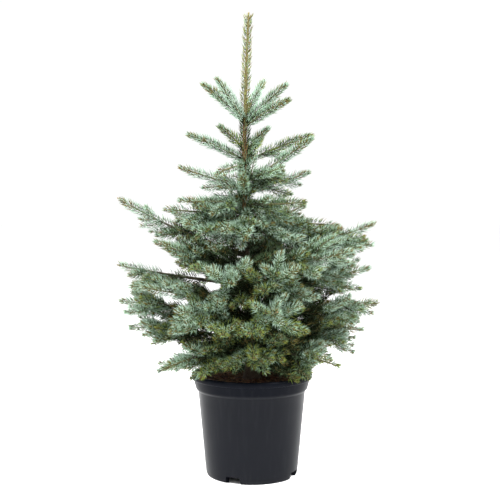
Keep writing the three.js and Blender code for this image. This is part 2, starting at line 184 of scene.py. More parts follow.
def chance(*keys):
    """A number from 0 to 1 that depends only on its whole-number keys, as in the part's source."""
    total = RULE["seed"]
    for key in keys:
        total = 37 * total + key
    mask = 0xFFFFFFFF
    t = (total + 0x6D2B79F5) & mask
    t = ((t ^ (t >> 15)) * (t | 1)) & mask
    t = t ^ ((t + (((t ^ (t >> 7)) * (t | 61)) & mask)) & mask)
    return (t ^ (t >> 14)) / 4294967296


def square_to(direction, vectors):
    """The part of each vector that is square to a direction, at length 1."""
    return unit(vectors - np.sum(vectors * direction, axis=-1, keepdims=True) * direction)


def left_of(direction):
    """The level direction to the left of a line, or near +X where the line stands upright."""
    if abs(direction[2]) > 0.9:
        return square_to(direction, np.array([1.0, 0.0, 0.0]))
    return unit(np.cross([0.0, 0.0, 1.0], direction))


class Arc:
    """A quadratic curve from a foot past a middle point to a tip."""

    def __init__(self, foot, middle, tip):
        self.foot, self.middle, self.tip = (np.asarray(p, float) for p in (foot, middle, tip))

    def points(self, shares):
        s = np.asarray(shares, float)[..., None]
        return (1 - s) ** 2 * self.foot + 2 * s * (1 - s) * self.middle + s * s * self.tip

    def tangents(self, shares):
        s = np.asarray(shares, float)[..., None]
        return unit((1 - s) * (self.middle - self.foot) + s * (self.tip - self.middle))


class TrunkLine:
    """The trunk's middle line over the ground, which bows a little as it rises."""

    @staticmethod
    def points(shares):
        s = np.asarray(shares, float)
        x = -TRUNK["lean"] * np.sin(2 * np.pi * TRUNK["lean_turns"] * s)
        y = TRUNK["sway"] * np.sin(2 * np.pi * TRUNK["sway_turns"] * s)
        return np.stack([x, y, TRUNK["height"] * s], axis=-1)

    @staticmethod
    def tangents(shares):
        s = np.asarray(shares, float)
        step = 1e-4
        return unit(TrunkLine.points(s + step) - TrunkLine.points(s - step))


def trunk_at(height):
    return TrunkLine.points(height / TRUNK["height"])


def trunk_radius(height):
    height = np.asarray(height, float)
    base = TRUNK["leader_base"]
    flare = TRUNK["flare_radius"] * np.maximum(0, 1 - height / (3 * TRUNK["flare_height"])) ** 2
    share = np.clip(height / base, 0, 1) ** TAPER
    lower = flare + lerp(TRUNK["foot_radius"], TRUNK["leader_radius"], share)
    upper = lerp(TRUNK["leader_radius"], TRUNK["tip_radius"], (height - base) / (TRUNK["height"] - base))
    return np.where(height > base, upper, lower)


def nearest(points, starts, ends):
    """The least distance from each point to any of the stretches between starts and ends."""
    along = ends - starts
    to = points[:, None] - starts
    share = np.sum(to * along, -1) / np.maximum(np.sum(along * along, -1), 1e-9)
    foot = starts + np.clip(share, 0, 1)[..., None] * along
    return np.linalg.norm(points[:, None] - foot, axis=-1).min(axis=1)


# ---------------------------------------------------------------- the limbs and their twigs
class Limb:
    """One limb of a whorl: a bough first, where it reaches far, and the stem of its mass."""

    def __init__(self, whorl_index, index):
        whorl = WHORLS[whorl_index]
        azimuth, self.reach, lift = whorl["limbs"][index]
        foot_height = whorl["height"] - whorl["step"] * index
        angle = math.radians(azimuth)
        foot = trunk_at(foot_height)
        tip = foot + np.array([math.cos(angle) * self.reach, math.sin(angle) * self.reach, lift])
        middle = (foot + tip) / 2 + np.array([0, 0, 2 * whorl["bow"]])
        self.name = f"{whorl['name']}_{index + 1}"
        self.keys = (whorl_index, index)
        self.arc = Arc(foot, middle, tip)
        self.side = np.array([math.cos(angle), math.sin(angle), 0])
        self.length = math.hypot(self.reach, lift)
        self.radius = whorl["radius"]
        self.growth = whorl["growth"]
        self.foot_height = foot_height
        self.bare_foot = float(trunk_radius(foot_height)) + 2
        self.bough_share = BOUGH["share"] if self.reach >= BOUGH["least_reach"] else 0

    def radius_at(self, share):
        return lerp(self.radius, LIMB_TIP_RADIUS, np.asarray(share, float) ** TAPER)


class Twig:
    """A stem, a side twig or a fine twig: an arc, the stretch of it that is used, and its order."""

    def __init__(self, limb, order, arc, start, length, radii, bare):
        self.limb, self.order, self.arc, self.start = limb, order, arc, start
        self.length, self.radii, self.bare = length, radii, bare
        count = max(2, round(length / RULE["pitch"]))
        self.line = arc.points(np.linspace(start, 1, count + 1))

    def shares(self, ups):
        return self.start + (1 - self.start) * np.asarray(ups, float)


def side_arc(arc, share, side, tilt, spread, length, pull=0.0):
    """The arc of a twig that leaves another at a share of it, and turns a little towards its tip.
    pull turns it out of the crown as well, and slightly up."""
    foot = arc.points(share)
    forward = arc.tangents(share)
    left = left_of(forward)
    outward = left * side * math.cos(tilt) + np.cross(forward, left) * math.sin(tilt)
    leaving = outward * math.sin(spread) + forward * math.cos(spread)
    away = unit(foot * [1, 1, 0] + [1e-6, 0, 0]) + [0, 0, 0.25]
    ending = unit(leaving + forward * RULE["hook"] + away * pull)
    middle = foot + leaving * length / 2
    return Arc(foot, middle, middle + ending * length / 2)


def in_sky(points, grow=0.0):
    """Whether each point lies in line with one of the places where the sky shows."""
    share = -EYE[1] / (points[..., 1] - EYE[1])
    x = EYE[0] + (points[..., 0] - EYE[0]) * share
    z = EYE[2] + (points[..., 2] - EYE[2]) * share
    hit = np.zeros(x.shape, bool)
    for middle, height, wide, high in SKY:
        hit |= ((x - middle) / (wide + grow)) ** 2 + ((z - height) / (high + grow)) ** 2 < 1
    return hit


def clear_of_pot(points, gap):
    over = points[..., 2] + GROUND > POT_RIM[0] + gap
    return over | (np.hypot(points[..., 0], points[..., 1]) > POT_RIM[1] + gap)


class Tree:
    """All limbs and twigs, grown by the rule in the part's source and then one order finer."""

    def __init__(self):
        self.limbs = [Limb(w, i) for w, whorl in enumerate(WHORLS) for i in range(len(whorl["limbs"]))]
        self.wood = self.wood_lines()
        self.twigs = [self.stem(limb) for limb in self.limbs]
        for limb in self.limbs:
            self.grow_side_twigs(limb)
        for number, twig in enumerate(list(self.twigs)):
            if twig.order == 0:
                if twig.limb.reach >= PAIRS["least_reach"] and twig.limb.foot_height < PAIRS["under"]:
                    self.grow_pair(twig, number, (-1, 1))
                elif twig.limb.keys in PAIRS["one_under"]:
                    self.grow_pair(twig, number, (-1,))
                self.grow_inner(twig, number)
            elif twig.limb.foot_height < FINE["highest"]:
                self.grow_fine_twigs(twig, number)
        self.grow_between()

    def wood_lines(self):
        """The trunk, its own masses of needles and the boughs, each as points and a radius."""
        lines = []
        for w, whorl in enumerate(WHORLS):
            low = WHORLS[w + 1]["height"] if w + 1 < len(WHORLS) else 0
            ends = np.stack([trunk_at(low), trunk_at(whorl["height"])])
            lines.append((ends, float(trunk_radius((low + whorl["height"]) / 2))))
        lines += [(np.stack([trunk_at(low), trunk_at(high)]), radius) for low, high, radius in STEM_MASSES]
        for limb in self.limbs:
            if limb.bough_share:
                shares = np.array([0, 0.5, 1]) * limb.bough_share
                lines.append((limb.arc.points(shares), float(limb.radius_at(limb.bough_share / 2))))
        return lines

    @staticmethod
    def stem(limb):
        """The stem of a limb's mass, from just beyond its bough or from the trunk to the limb's tip."""
        start = limb.bough_share + BOUGH["gap"] / limb.length if limb.bough_share else 0
        bare = 0 if limb.bough_share else limb.bare_foot
        length = limb.length * (1 - start)
        return Twig(limb, 0, limb.arc, start, length, (float(limb.radius_at(start)), LIMB_TIP_RADIUS), bare)

    def has_room(self, twig, gap, parent=None):
        """Whether a twig is clear of the pot, the sky, the wood and the twigs of other limbs, or, where it
        has a parent, of all twigs but that one."""
        points = twig.line[1:]
        if not clear_of_pot(points, RULE["wood_gap"]).all():
            return False
        if in_sky(twig.arc.points(np.linspace(*SKY_TESTS)), SKY_GAP).any():
            return False
        for line, radius in self.wood:
            if (nearest(points, line[:-1], line[1:]) <= radius + RULE["wood_gap"]).any():
                return False
        if parent is None:
            others = [other for other in self.twigs if other.limb is not twig.limb]
        else:
            points = points[1:]
            others = [other for other in self.twigs if other is not parent]
        starts = np.concatenate([other.line[:-1] for other in others])
        ends = np.concatenate([other.line[1:] for other in others])
        return bool((nearest(points, starts, ends) > gap).all())

    def add_longest(self, cut_to, gap, parent=None):
        """Adds a twig, cut to the largest share of its length that has room, or leaves it out."""
        for share in RULE["shorter"]:
            twig = cut_to(share)
            if self.has_room(twig, gap, parent):
                self.twigs.append(twig)
                return

    def grow_side_twigs(self, limb):
        """Grows a pair of side twigs at every node. They rise and droop by turns."""
        bearing = limb.length * (1 - limb.bough_share) - RULE["foot_clear"] - limb.bare_foot
        node = 0
        while limb.growth + node * RULE["node_step"] < bearing:
            from_tip = limb.growth + node * RULE["node_step"]
            for side in (-1, 1):
                keys = (*limb.keys, node, side + 1)
                share = 1 - (from_tip + RULE["stagger"] * (chance(*keys, 1) - 0.5)) / limb.length
                wanted = min(max(RULE["length_share"] * from_tip, RULE["shortest"]), RULE["longest"])
                wanted *= lerp(*RULE["varies"], chance(*keys, 4))
                droops = (node + (side + 3) // 2) % 2 == 0
                if limb.foot_height > RULE["young_over"]:
                    older = min(1, (from_tip - limb.growth) / RULE["aging"])
                    young = RULE["droop_share" if droops else "rise_share"]
                    wanted *= lerp(young, RULE["aged_share"], older)
                spread = math.radians(lerp(*RULE["spread"], chance(*keys, 2)))
                tilt = math.radians(lerp(*RULE["droop" if droops else "rise"], chance(*keys, 3)))

                def cut_to(part):
                    arc = side_arc(limb.arc, share, side, tilt, spread, wanted * part)
                    return Twig(limb, 1, arc, 0, wanted * part, RULE["radii"], RULE["bare"])

                self.add_longest(cut_to, RULE["twig_gap"])
            node += 1

    def grow_fine(self, parent, share, side, tilt, spread, length, pull, gap):
        """Grows one fine twig, if it has room."""
        def cut_to(part):
            arc = side_arc(parent.arc, share, side, tilt, spread, length * part, pull)
            return Twig(parent.limb, 2, arc, 0, length * part, FINE["radii"], FINE["bare"])

        self.add_longest(cut_to, gap, parent)

    def grow_fine_twigs(self, parent, number):
        node = 0
        while FINE["growth"] + node * FINE["node_step"] < parent.length - FINE["foot_clear"]:
            from_tip = FINE["growth"] + node * FINE["node_step"]
            for side in (-1, 1):
                keys = (number, node, side + 1, FINE["key"])
                share = 1 - (from_tip + FINE["stagger"] * (chance(*keys, 1) - 0.5)) / parent.length
                length = min(max(FINE["length_share"] * from_tip, FINE["shortest"]), FINE["longest"])
                length *= lerp(*FINE["varies"], chance(*keys, 4))
                spread = math.radians(lerp(*RULE["spread"], chance(*keys, 2)))
                droops = chance(*keys, 5) < FINE["droop_chance"]
                tilt = math.radians(lerp(*FINE["droop" if droops else "rise"], chance(*keys, 3)))
                self.grow_fine(parent, share, side, tilt, spread, length, FINE["pull"], FINE["twig_gap"])
            node += 1

    def grow_pair(self, parent, number, sides):
        for side in sides:
            share = 1 - lerp(*PAIRS["from_tip"], chance(number, side + 1, 41)) / parent.limb.length
            length = lerp(*PAIRS["length"], chance(number, side + 1, 42))
            tilt, spread = math.radians(side * PAIRS["tilt"]), math.radians(PAIRS["spread"])
            self.grow_fine(parent, share, 1, tilt, spread, length, PAIRS["pull"], PAIRS["gap"])

    def grow_inner(self, parent, number):
        limb = parent.limb
        lift = limb.arc.tip[2] - limb.arc.foot[2]
        hangs = limb.foot_height < INNER["hanging_below"] or lift < INNER["hanging_lift"]
        node = 0
        while INNER["from_trunk"] + node * INNER["node_step"] < INNER["most_share"] * limb.length:
            share = (INNER["from_trunk"] + node * INNER["node_step"]) / limb.length
            for side in (-1, 1):
                keys = (number, node, side + 1, INNER["key"])
                length = lerp(*INNER["length"], chance(*keys, 1))
                spread = math.radians(lerp(*RULE["spread"], chance(*keys, 2)))
                tilt = math.radians(lerp(*INNER["hanging_tilt" if hangs else "tilt"], chance(*keys, 3)))
                pull = FINE["pull"] * min(1, share * limb.length / INNER["full_pull"])
                if (1 - share) * limb.length > limb.growth:
                    self.grow_fine(parent, share, side, tilt, spread, length, pull, INNER["twig_gap"])
            node += 1

    def grow_between(self):
        """Grows the trunk's own short twigs. Each goes with the limb nearest in height and direction."""
        for node in range(int((BETWEEN["highest"] - BETWEEN["lowest"]) / BETWEEN["step"])):
            height = BETWEEN["lowest"] + node * BETWEEN["step"]
            angle = node * GOLDEN_ANGLE
            rise = math.radians(lerp(*BETWEEN["rise"], chance(node, BETWEEN["key"], 1)))
            level = np.array([math.cos(angle), math.sin(angle), 0])
            shrink, at = BETWEEN["shrink"]
            length = lerp(*BETWEEN["length"], chance(node, BETWEEN["key"], 2)) * (1 - shrink * height / at)
            limb = min(self.limbs, key=lambda limb: (
                abs(limb.foot_height - height) - BETWEEN["aim_weight"] * np.dot(limb.side, level)))
            foot = trunk_at(height)

            def cut_to(part):
                tip = foot + (level * math.cos(rise) + [0, 0, math.sin(rise)]) * length * part
                arc = Arc(foot, (foot + tip) / 2 + [0, 0, BETWEEN["bow"]], tip)
                bare = float(trunk_radius(height)) + BETWEEN["bare"]
                return Twig(limb, 2, arc, 0, length * part, BETWEEN["radii"], bare)

            self.add_longest(cut_to, BETWEEN["gap"])


@lru_cache(maxsize=1)
def grown_tree():
    return Tree()


# ---------------------------------------------------------------- meshes
def to_metres(points):
    """Points in mm over the ground, as metres in the frame."""
    return (np.asarray(points, float) + [0, 0, GROUND]) * MM


class Heap:
    """Triangles of many small closed shapes, gathered for one joined piece."""

    def __init__(self):
        self.points, self.faces, self.kinds, self.count = [], [], [], 0

    def add(self, points, faces, kind=0):
        """Adds a shape. kind is its material's number, or one number for each face."""
        self.points.append(points)
        self.faces.append(np.asarray(faces) + self.count)
        self.kinds.append(np.full(len(faces), kind))
        self.count += len(points)

    def arrays(self):
        return np.concatenate(self.points), np.concatenate(self.faces), np.concatenate(self.kinds)


def piece_from(name, points, faces, materials, kinds=None, smooth=False):
    """A mesh object in metres that rides on the part's one body."""
    mesh = bpy.data.meshes.new(name)
    if isinstance(faces, list):
        mesh.from_pydata([tuple(p) for p in points], [], faces)
    else:
        mesh.vertices.add(len(points))
        mesh.vertices.foreach_set("co", np.asarray(points, np.float32).ravel())
        mesh.loops.add(faces.size)
        mesh.polygons.add(len(faces))
        mesh.polygons.foreach_set("loop_start", np.arange(0, faces.size, faces.shape[1], dtype=np.int32))
        mesh.polygons.foreach_set("vertices", np.asarray(faces, np.int32).ravel())
    for material in materials:
        mesh.materials.append(material)
    if kinds is not None:
        mesh.polygons.foreach_set("material_index", np.asarray(kinds, np.int32))
    mesh.update(calc_edges=True)
    mesh.validate()
    mesh.polygons.foreach_set("use_smooth", [smooth] * len(mesh.polygons))
    piece = bpy.data.objects.new(name, mesh)
    bpy.context.scene.collection.objects.link(piece)
    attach(piece, "root")
    return piece


def tube(centres, tangents, radii, sides, turn=0.0):
    """Points and triangles of a closed tube. radii is one for each ring, or one for each corner."""
    left = left_of(tangents[len(tangents) // 2])
    across = square_to(tangents, np.broadcast_to(left, tangents.shape))
    over = np.cross(tangents, across)
    angles = turn + 2 * np.pi * np.arange(sides) / sides
    spokes = np.cos(angles)[None, :, None] * across[:, None] + np.sin(angles)[None, :, None] * over[:, None]
    radii = np.asarray(radii, float)
    radii = radii[:, None] if radii.ndim == 1 else radii
    rings = centres[:, None] + spokes * radii[..., None]
    points = np.concatenate([rings.reshape(-1, 3), centres[:1], centres[-1:]])
    return points, tube_faces(len(centres), sides)


@lru_cache(maxsize=64)
def tube_faces(rings, sides):
    faces = []
    foot, tip = rings * sides, rings * sides + 1
    for i in range(rings - 1):
        for j in range(sides):
            a, b = i * sides + j, i * sides + (j + 1) % sides
            faces += [(a, b, b + sides), (a, b + sides, a + sides)]
    for j in range(sides):
        after = (j + 1) % sides
        faces += [(foot, after, j), (tip, (rings - 1) * sides + j, (rings - 1) * sides + after)]
    return np.array(faces)


def lathe(profile, segments):
    """Points and faces of a closed solid of revolution round +Z. A radius of 0 is a pole."""
    points, rows, faces = [], [], []
    for radius, height in profile:
        count = segments if radius > 0 else 1
        rows.append([len(points) + i for i in range(count)])
        for i in range(count):
            angle = 2 * math.pi * i / segments
            points.append((radius * math.cos(angle), radius * math.sin(angle), height))
    for low, high in zip(rows, rows[1:]):
        for i in range(segments):
            j = (i + 1) % segments
            corners = [low[i % len(low)], low[j % len(low)], high[j % len(high)], high[i % len(high)]]
            faces.append(list(dict.fromkeys(corners)))
    return points, faces


# ---------------------------------------------------------------- materials
def add_node(material, kind, links=None, **settings):
    """Adds a node. links fills its inputs, each with a value or with another node's output."""
    node = material.node_tree.nodes.new(kind)
    for name, value in settings.items():
        setattr(node, name, value)
    for name, value in (links or {}).items():
        if isinstance(value, bpy.types.NodeSocket):
            material.node_tree.links.new(value, node.inputs[name])
        else:
            node.inputs[name].default_value = value
    return node


def start_material(name):
    """An empty node material, and its place in the frame in metres."""
    material = bpy.data.materials.new(name)
    material.use_nodes = True
    material.node_tree.nodes.clear()
    return material, add_node(material, "ShaderNodeTexCoord").outputs["Object"]


def end_material(material, links):
    """The material, ended with a shader whose inputs links fills."""
    shader = add_node(material, "ShaderNodeBsdfPrincipled", links)
    add_node(material, "ShaderNodeOutputMaterial", {"Surface": shader.outputs["BSDF"]})
    return material


def needle_material(name, wax, flesh, bloom):
    """Grown needles under a bloom of wax: the wax scatters light, so they look pale and dry, and the
    green shows where it has worn thin. Wear is about 9 mm across, a third of a needle's length. Old
    needles have no bloom left and lie dull in the shade."""
    material, place = start_material(name)
    wear = add_node(material, "ShaderNodeTexNoise", {"Vector": place, "Scale": 110.0, "Detail": 1.0})
    tone = add_node(material, "ShaderNodeMix", {0: wear.outputs["Fac"], 6: (*wax, 1), 7: (*flesh, 1)},
                    data_type="RGBA")
    return end_material(material, {
        "Base Color": tone.outputs[2], "Roughness": 0.6, "IOR": 1.45,
        "Specular IOR Level": 0.06 + 0.16 * bloom, "Sheen Weight": 0.06 * bloom, "Sheen Roughness": 0.5,
    })


def shoot_material(name, light, dark, peg_mm=1.6):
    """Young shoot bark: smooth skin raised in pegs under the needles, about 1.6 mm apart, which gives
    a fine light and dark grain along the twig."""
    material, place = start_material(name)
    pegs = add_node(material, "ShaderNodeTexVoronoi", {"Vector": place, "Scale": 1 / (peg_mm * MM)})
    tone = add_node(material, "ShaderNodeMix", {0: pegs.outputs["Distance"], 6: (*light, 1), 7: (*dark, 1)},
                    data_type="RGBA")
    relief = add_node(material, "ShaderNodeBump", {"Height": pegs.outputs["Distance"], "Strength": 0.4,
                                                   "Distance": 0.3 * MM}, invert=True)
    return end_material(material, {
        "Base Color": tone.outputs[2], "Roughness": 0.62, "Normal": relief.outputs["Normal"],
    })


def bark_material(name, ridge, crack, flake_mm):
    """Scaly bark: dry flakes a few millimetres wide, pale at their lifted edges and dark in the cracks
    between them, with a dull, rough surface."""
    material, place = start_material(name)
    drift = add_node(material, "ShaderNodeTexNoise", {"Vector": place, "Scale": 90.0, "Detail": 3.0})
    flakes = add_node(material, "ShaderNodeTexVoronoi", {"Vector": place, "Scale": 1 / (flake_mm * MM)},
                      feature="DISTANCE_TO_EDGE")
    edge = add_node(material, "ShaderNodeMapRange", {"Value": flakes.outputs["Distance"], "From Max": 0.22})
    height = add_node(material, "ShaderNodeMath", {0: edge.outputs["Result"], 1: drift.outputs["Fac"]},
                      operation="MULTIPLY")
    tone = add_node(material, "ShaderNodeMix", {0: height.outputs["Value"], 6: (*crack, 1), 7: (*ridge, 1)},
                    data_type="RGBA")
    relief = add_node(material, "ShaderNodeBump", {"Height": height.outputs["Value"], "Strength": 0.7,
                                                   "Distance": 0.8 * MM})
    return end_material(material, {
        "Base Color": tone.outputs[2], "Roughness": 0.88, "Normal": relief.outputs["Normal"],
    })


def bud_material():
    """Bud scales with dried resin: papery brown plates with a slight gloss."""
    material, place = start_material("Bud scales, resinous")
    scales = add_node(material, "ShaderNodeTexVoronoi", {"Vector": place, "Scale": 1 / (1.1 * MM)})
    tone = add_node(material, "ShaderNodeMix", {
        0: scales.outputs["Distance"], 6: (*linear("#8C7448"), 1), 7: (*linear("#5B4428"), 1)},
        data_type="RGBA")
    return end_material(material, {"Base Color": tone.outputs[2], "Roughness": 0.45})


def pot_material(sizes):
    """Polypropylene, injection moulded and black: a satin skin that is even from the front and turns bright
    at a low angle. The eroded mould leaves grain of 0.5 mm, drawn at 1.4 mm so that it shows, and slow sink
    waves 45 mm long. Handling leaves faint dull streaks that run up the wall. The band under the lip
    reflects less than the wall below it, as painted shade under the lip."""
    material, place = start_material("Polypropylene, injection moulded black")
    grain = add_node(material, "ShaderNodeTexNoise", {
        "Vector": place, "Scale": 1 / (1.4 * MM), "Detail": 2.0})
    waves = add_node(material, "ShaderNodeTexNoise", {
        "Vector": place, "Scale": 1 / (45 * MM), "Detail": 1.0})
    stretched = add_node(material, "ShaderNodeMapping", {"Vector": place, "Scale": (1, 1, 0.08)})
    streaks = add_node(material, "ShaderNodeTexNoise", {
        "Vector": stretched.outputs["Vector"], "Scale": 1 / (9 * MM), "Detail": 3.0})
    gloss = add_node(material, "ShaderNodeMapRange", {
        "Value": streaks.outputs["Fac"], "From Min": 0.3, "From Max": 0.7, "To Min": 0.36, "To Max": 0.38})
    dust = add_node(material, "ShaderNodeMapRange", {
        "Value": streaks.outputs["Fac"], "From Min": 0.5, "From Max": 0.9, "To Max": 0.05})
    tone = add_node(material, "ShaderNodeMix", {
        0: dust.outputs["Result"], 6: (*sizes.plastic, 1), 7: (*linear("#4A4B4E"), 1)}, data_type="RGBA")
    # Painted shade: the band under the lip reflects less than the wall below it.
    height = add_node(material, "ShaderNodeSeparateXYZ", {"Vector": place})
    band_shade = add_node(material, "ShaderNodeMapRange", {
        "Value": height.outputs["Z"], "From Min": sizes.height - sizes.band_depth,
        "From Max": sizes.height - sizes.band_depth + 0.004, "To Min": 0.076, "To Max": 0.030})
    slow = add_node(material, "ShaderNodeBump", {
        "Height": waves.outputs["Fac"], "Strength": 0.25, "Distance": 1.0 * MM})
    fine = add_node(material, "ShaderNodeBump", {
        "Height": grain.outputs["Fac"], "Strength": 0.12, "Distance": 0.2 * MM,
        "Normal": slow.outputs["Normal"]})
    return end_material(material, {
        "Base Color": tone.outputs[2], "Roughness": gloss.outputs["Result"], "IOR": 1.49,
        "Specular IOR Level": band_shade.outputs["Result"], "Normal": fine.outputs["Normal"],
    })


def compost_material(name, light, dark, crumb_mm):
    """Damp composted bark: crumbs of a few millimetres, dark where they hold water."""
    material, place = start_material(name)
    crumbs = add_node(material, "ShaderNodeTexVoronoi", {"Vector": place, "Scale": 1 / (crumb_mm * MM)})
    damp = add_node(material, "ShaderNodeTexNoise", {"Vector": place, "Scale": 60.0, "Detail": 4.0})
    mixed = add_node(material, "ShaderNodeMath", {0: crumbs.outputs["Distance"], 1: damp.outputs["Fac"]},
                     operation="MULTIPLY")
    tone = add_node(material, "ShaderNodeMix", {0: mixed.outputs["Value"], 6: (*dark, 1), 7: (*light, 1)},
                    data_type="RGBA")
    relief = add_node(material, "ShaderNodeBump", {
        "Height": damp.outputs["Fac"], "Strength": 0.8, "Distance": 1.2 * MM})
    return end_material(material, {
        "Base Color": tone.outputs[2], "Roughness": 0.92, "Normal": relief.outputs["Normal"],
    })


def floor_material(studio):
    """Matt white paint on board, rolled: an orange-peel grain of 3 mm and no gloss."""
    material, place = start_material("Matt white paint, rolled")
    peel = add_node(material, "ShaderNodeTexNoise", {"Vector": place, "Scale": 1 / (3 * MM)})
    relief = add_node(material, "ShaderNodeBump", {
        "Height": peel.outputs["Fac"], "Strength": 0.05, "Distance": 0.2 * MM})
    return end_material(material, {
        "Base Color": (*studio.floor, 1), "Roughness": 0.9, "Normal": relief.outputs["Normal"],
    })


# ---------------------------------------------------------------- settings
def length_setting(name, description, default):
    return FloatProperty(name=name, description=description, default=default, unit="LENGTH")


def colour_setting(name, description, code):
    """A setting for a colour, whose default is an sRGB hex value."""
    return FloatVectorProperty(name=name, description=description, size=3, subtype="COLOR",
                               default=linear(code))


class SPRUCE_PG_pot(bpy.types.PropertyGroup):
    """Sizes and colour of the moulded pot"""

    height: length_setting("Height", "Foot to the top of the lip", 0.235)
    rim_radius: length_setting("Rim radius", "Outside of the rolled lip", 0.140)
    mouth_radius: length_setting("Mouth radius", "Inside of the lip", 0.131)
    lip_depth: length_setting("Lip depth", "Height of the rolled lip", 0.012)
    band_radius: length_setting("Band radius", "Top of the band under the lip", 0.1355)
    band_foot_radius: length_setting("Band foot radius", "Foot of the band", 0.1292)
    band_depth: length_setting("Band depth", "Top of the lip to the band's foot", 0.035)
    shoulder_radius: length_setting("Shoulder radius", "Wall just under the band", 0.124)
    heel_radius: length_setting("Heel radius", "Wall where its foot starts to round", 0.106)
    heel_height: length_setting("Heel height", "Height of the rounded foot", 0.008)
    foot_radius: length_setting("Foot radius", "What the pot stands on", 0.1005)
    floor_height: length_setting("Floor height", "Underside of the gutter round the floor's plate", 0.0160)
    wall: length_setting("Wall", "Thickness of the wall", 0.002)
    plastic: colour_setting("Plastic", "Colour of the plastic", "#07090F")


class SPRUCE_PG_compost(bpy.types.PropertyGroup):
    """Sizes and colours of the compost"""

    edge_drop: length_setting("Edge drop", "How far the surface falls to the pot's wall", 0.005)
    roughness: length_setting("Lumps", "Height of the lumps in the surface", 0.0026)
    chips: IntProperty(name="Chips", description="Bark chips that lie on the surface", default=760)
    fibres: IntProperty(name="Fibres", description="Fibres that lie on the surface", default=170)
    light: colour_setting("Dry", "Colour of dry bark fines", "#80532F")
    dark: colour_setting("Damp", "Colour of damp bark fines", "#352215")


class SPRUCE_PG_bark(bpy.types.PropertyGroup):
    """Relief and colours of the trunk and the twigs"""

    relief: length_setting("Relief", "Height of the flakes at the trunk's foot", 0.0013)
    old: colour_setting("Old bark", "Flakes on the trunk's foot", "#6E5C4A")
    young: colour_setting("Young bark", "Bark of the upper stem", "#7A5C32")
    twig: colour_setting("Twig bark", "Ridged bark of the older twigs", "#4C4430")
    leader: colour_setting("Leader", "Skin of this year's leader", "#675E30")
    shoot: colour_setting("Shoot", "Skin of this year's side shoots", "#55522F")


class SPRUCE_PG_needles(bpy.types.PropertyGroup):
    """Sizes and tints of the needles. Their width is over life size, so that their count stays moderate"""

    length: length_setting("Length", "Middle length of a needle", 0.0195)
    width: length_setting("Width", "Width of a needle", 0.0018)
    per_cm: FloatProperty(name="Needles per cm", description="Needles on a centimetre of twig", default=15.5)
    lean: FloatProperty(name="Lean", description="Angle between a needle and its twig",
                        default=math.radians(57), subtype="ANGLE", unit="ROTATION")
    silver: colour_setting("Silver", "Needles with a full bloom of wax", "#A2B5A7")
    glaucous: colour_setting("Glaucous", "Needles with a thinner bloom", "#8AA18F")
    sage: colour_setting("Sage", "Needles of last year", "#667A5B")
    green: colour_setting("Old green", "Needles of the inner crown", "#252C1A")
    lime: colour_setting("Yellow-green", "Needles low in the crown", "#808A42")
    straw: colour_setting("Leader needles", "Needles on the leader", "#6C6036")


class SPRUCE_PG_studio(bpy.types.PropertyGroup):
    """Floor, light and camera"""

    floor: colour_setting("Floor", "Colour of the floor", "#FDFDFD")
    sky: FloatProperty(name="Surround", description="Strength of the white surround", default=1.03)
    key: FloatProperty(name="Key light", description="Power of the large soft lamp", default=250.0,
                       unit="POWER")
    distance: length_setting("Camera distance", "Camera to the trunk", 2.2)
    height: length_setting("Camera height", "Camera over the floor", 0.61)
    lens: FloatProperty(name="Lens", description="Focal length in mm on a 36 mm sensor", default=68.7)


# ---------------------------------------------------------------- the pieces
# The drain notches in the pot's foot, in metres. The cutter's inner and outer ends are each given as a
# radius and half the width at the foot, and its sides lean in by the draft.
NOTCH = {
    "count": 4, "first_azimuth": 66, "ends": ((0.080, 0.0155), (0.118, 0.0215)), "foot": -0.004,
    "top": 0.0152, "draft": 0.0032,
}


def pot_profile(s):
    """The pot's section as radius and height, from under the floor out, up, over the lip and back in.
    The floor is a plate in the middle and a higher gutter round it."""
    lip, band = s.height - s.lip_depth, s.height - s.band_depth
    shoulder = band - 0.006
    plate, plate_top, plate_radius = 0.005, 0.008, s.foot_radius - 0.026
    wall = [(lerp(s.heel_radius, s.shoulder_radius, i / 8), lerp(s.heel_height, shoulder, i / 8))
            for i in range(9)]
    floor_top = s.floor_height + s.wall + 0.001
    inside = [(lerp(s.shoulder_radius, s.heel_radius, i / 4) - s.wall - 0.0004,
               lerp(shoulder, floor_top + 0.001, i / 4)) for i in range(5)]
    return [
        (0, plate), (plate_radius, plate), (s.foot_radius - 0.024, s.floor_height),
        (s.foot_radius - 0.011, s.floor_height), (s.foot_radius - 0.009, 0),
        (s.foot_radius, 0), (s.foot_radius + 0.0022, 0.0007), (s.foot_radius + 0.0036, 0.0022),
        (s.foot_radius + 0.0043, 0.0044), *wall,
        (s.shoulder_radius + 0.0006, shoulder + 0.0016), (s.band_foot_radius - 0.0018, band - 0.0016),
        (s.band_foot_radius - 0.0002, band), (s.band_foot_radius + 0.0004, band + 0.0022),
        (s.band_radius - 0.0008, lip - 0.0030), (s.band_radius, lip - 0.0008),
        (s.rim_radius - 0.0016, lip), (s.rim_radius - 0.0003, lip + 0.0014), (s.rim_radius, lip + 0.0034),
        (s.rim_radius, s.height - 0.0042), (s.rim_radius - 0.0007, s.height - 0.0019),
        (s.rim_radius - 0.0024, s.height - 0.0004), (s.rim_radius - 0.0044, s.height),
        (s.mouth_radius + 0.0022, s.height - 0.0003), (s.mouth_radius + 0.0006, s.height - 0.0016),
        (s.mouth_radius, s.height - 0.0040), (s.mouth_radius, lip), *inside,
        (s.heel_radius - s.wall - 0.004, floor_top), (s.foot_radius - 0.027, floor_top),
        (s.foot_radius - 0.029, plate_top), (0, plate_top),
    ]


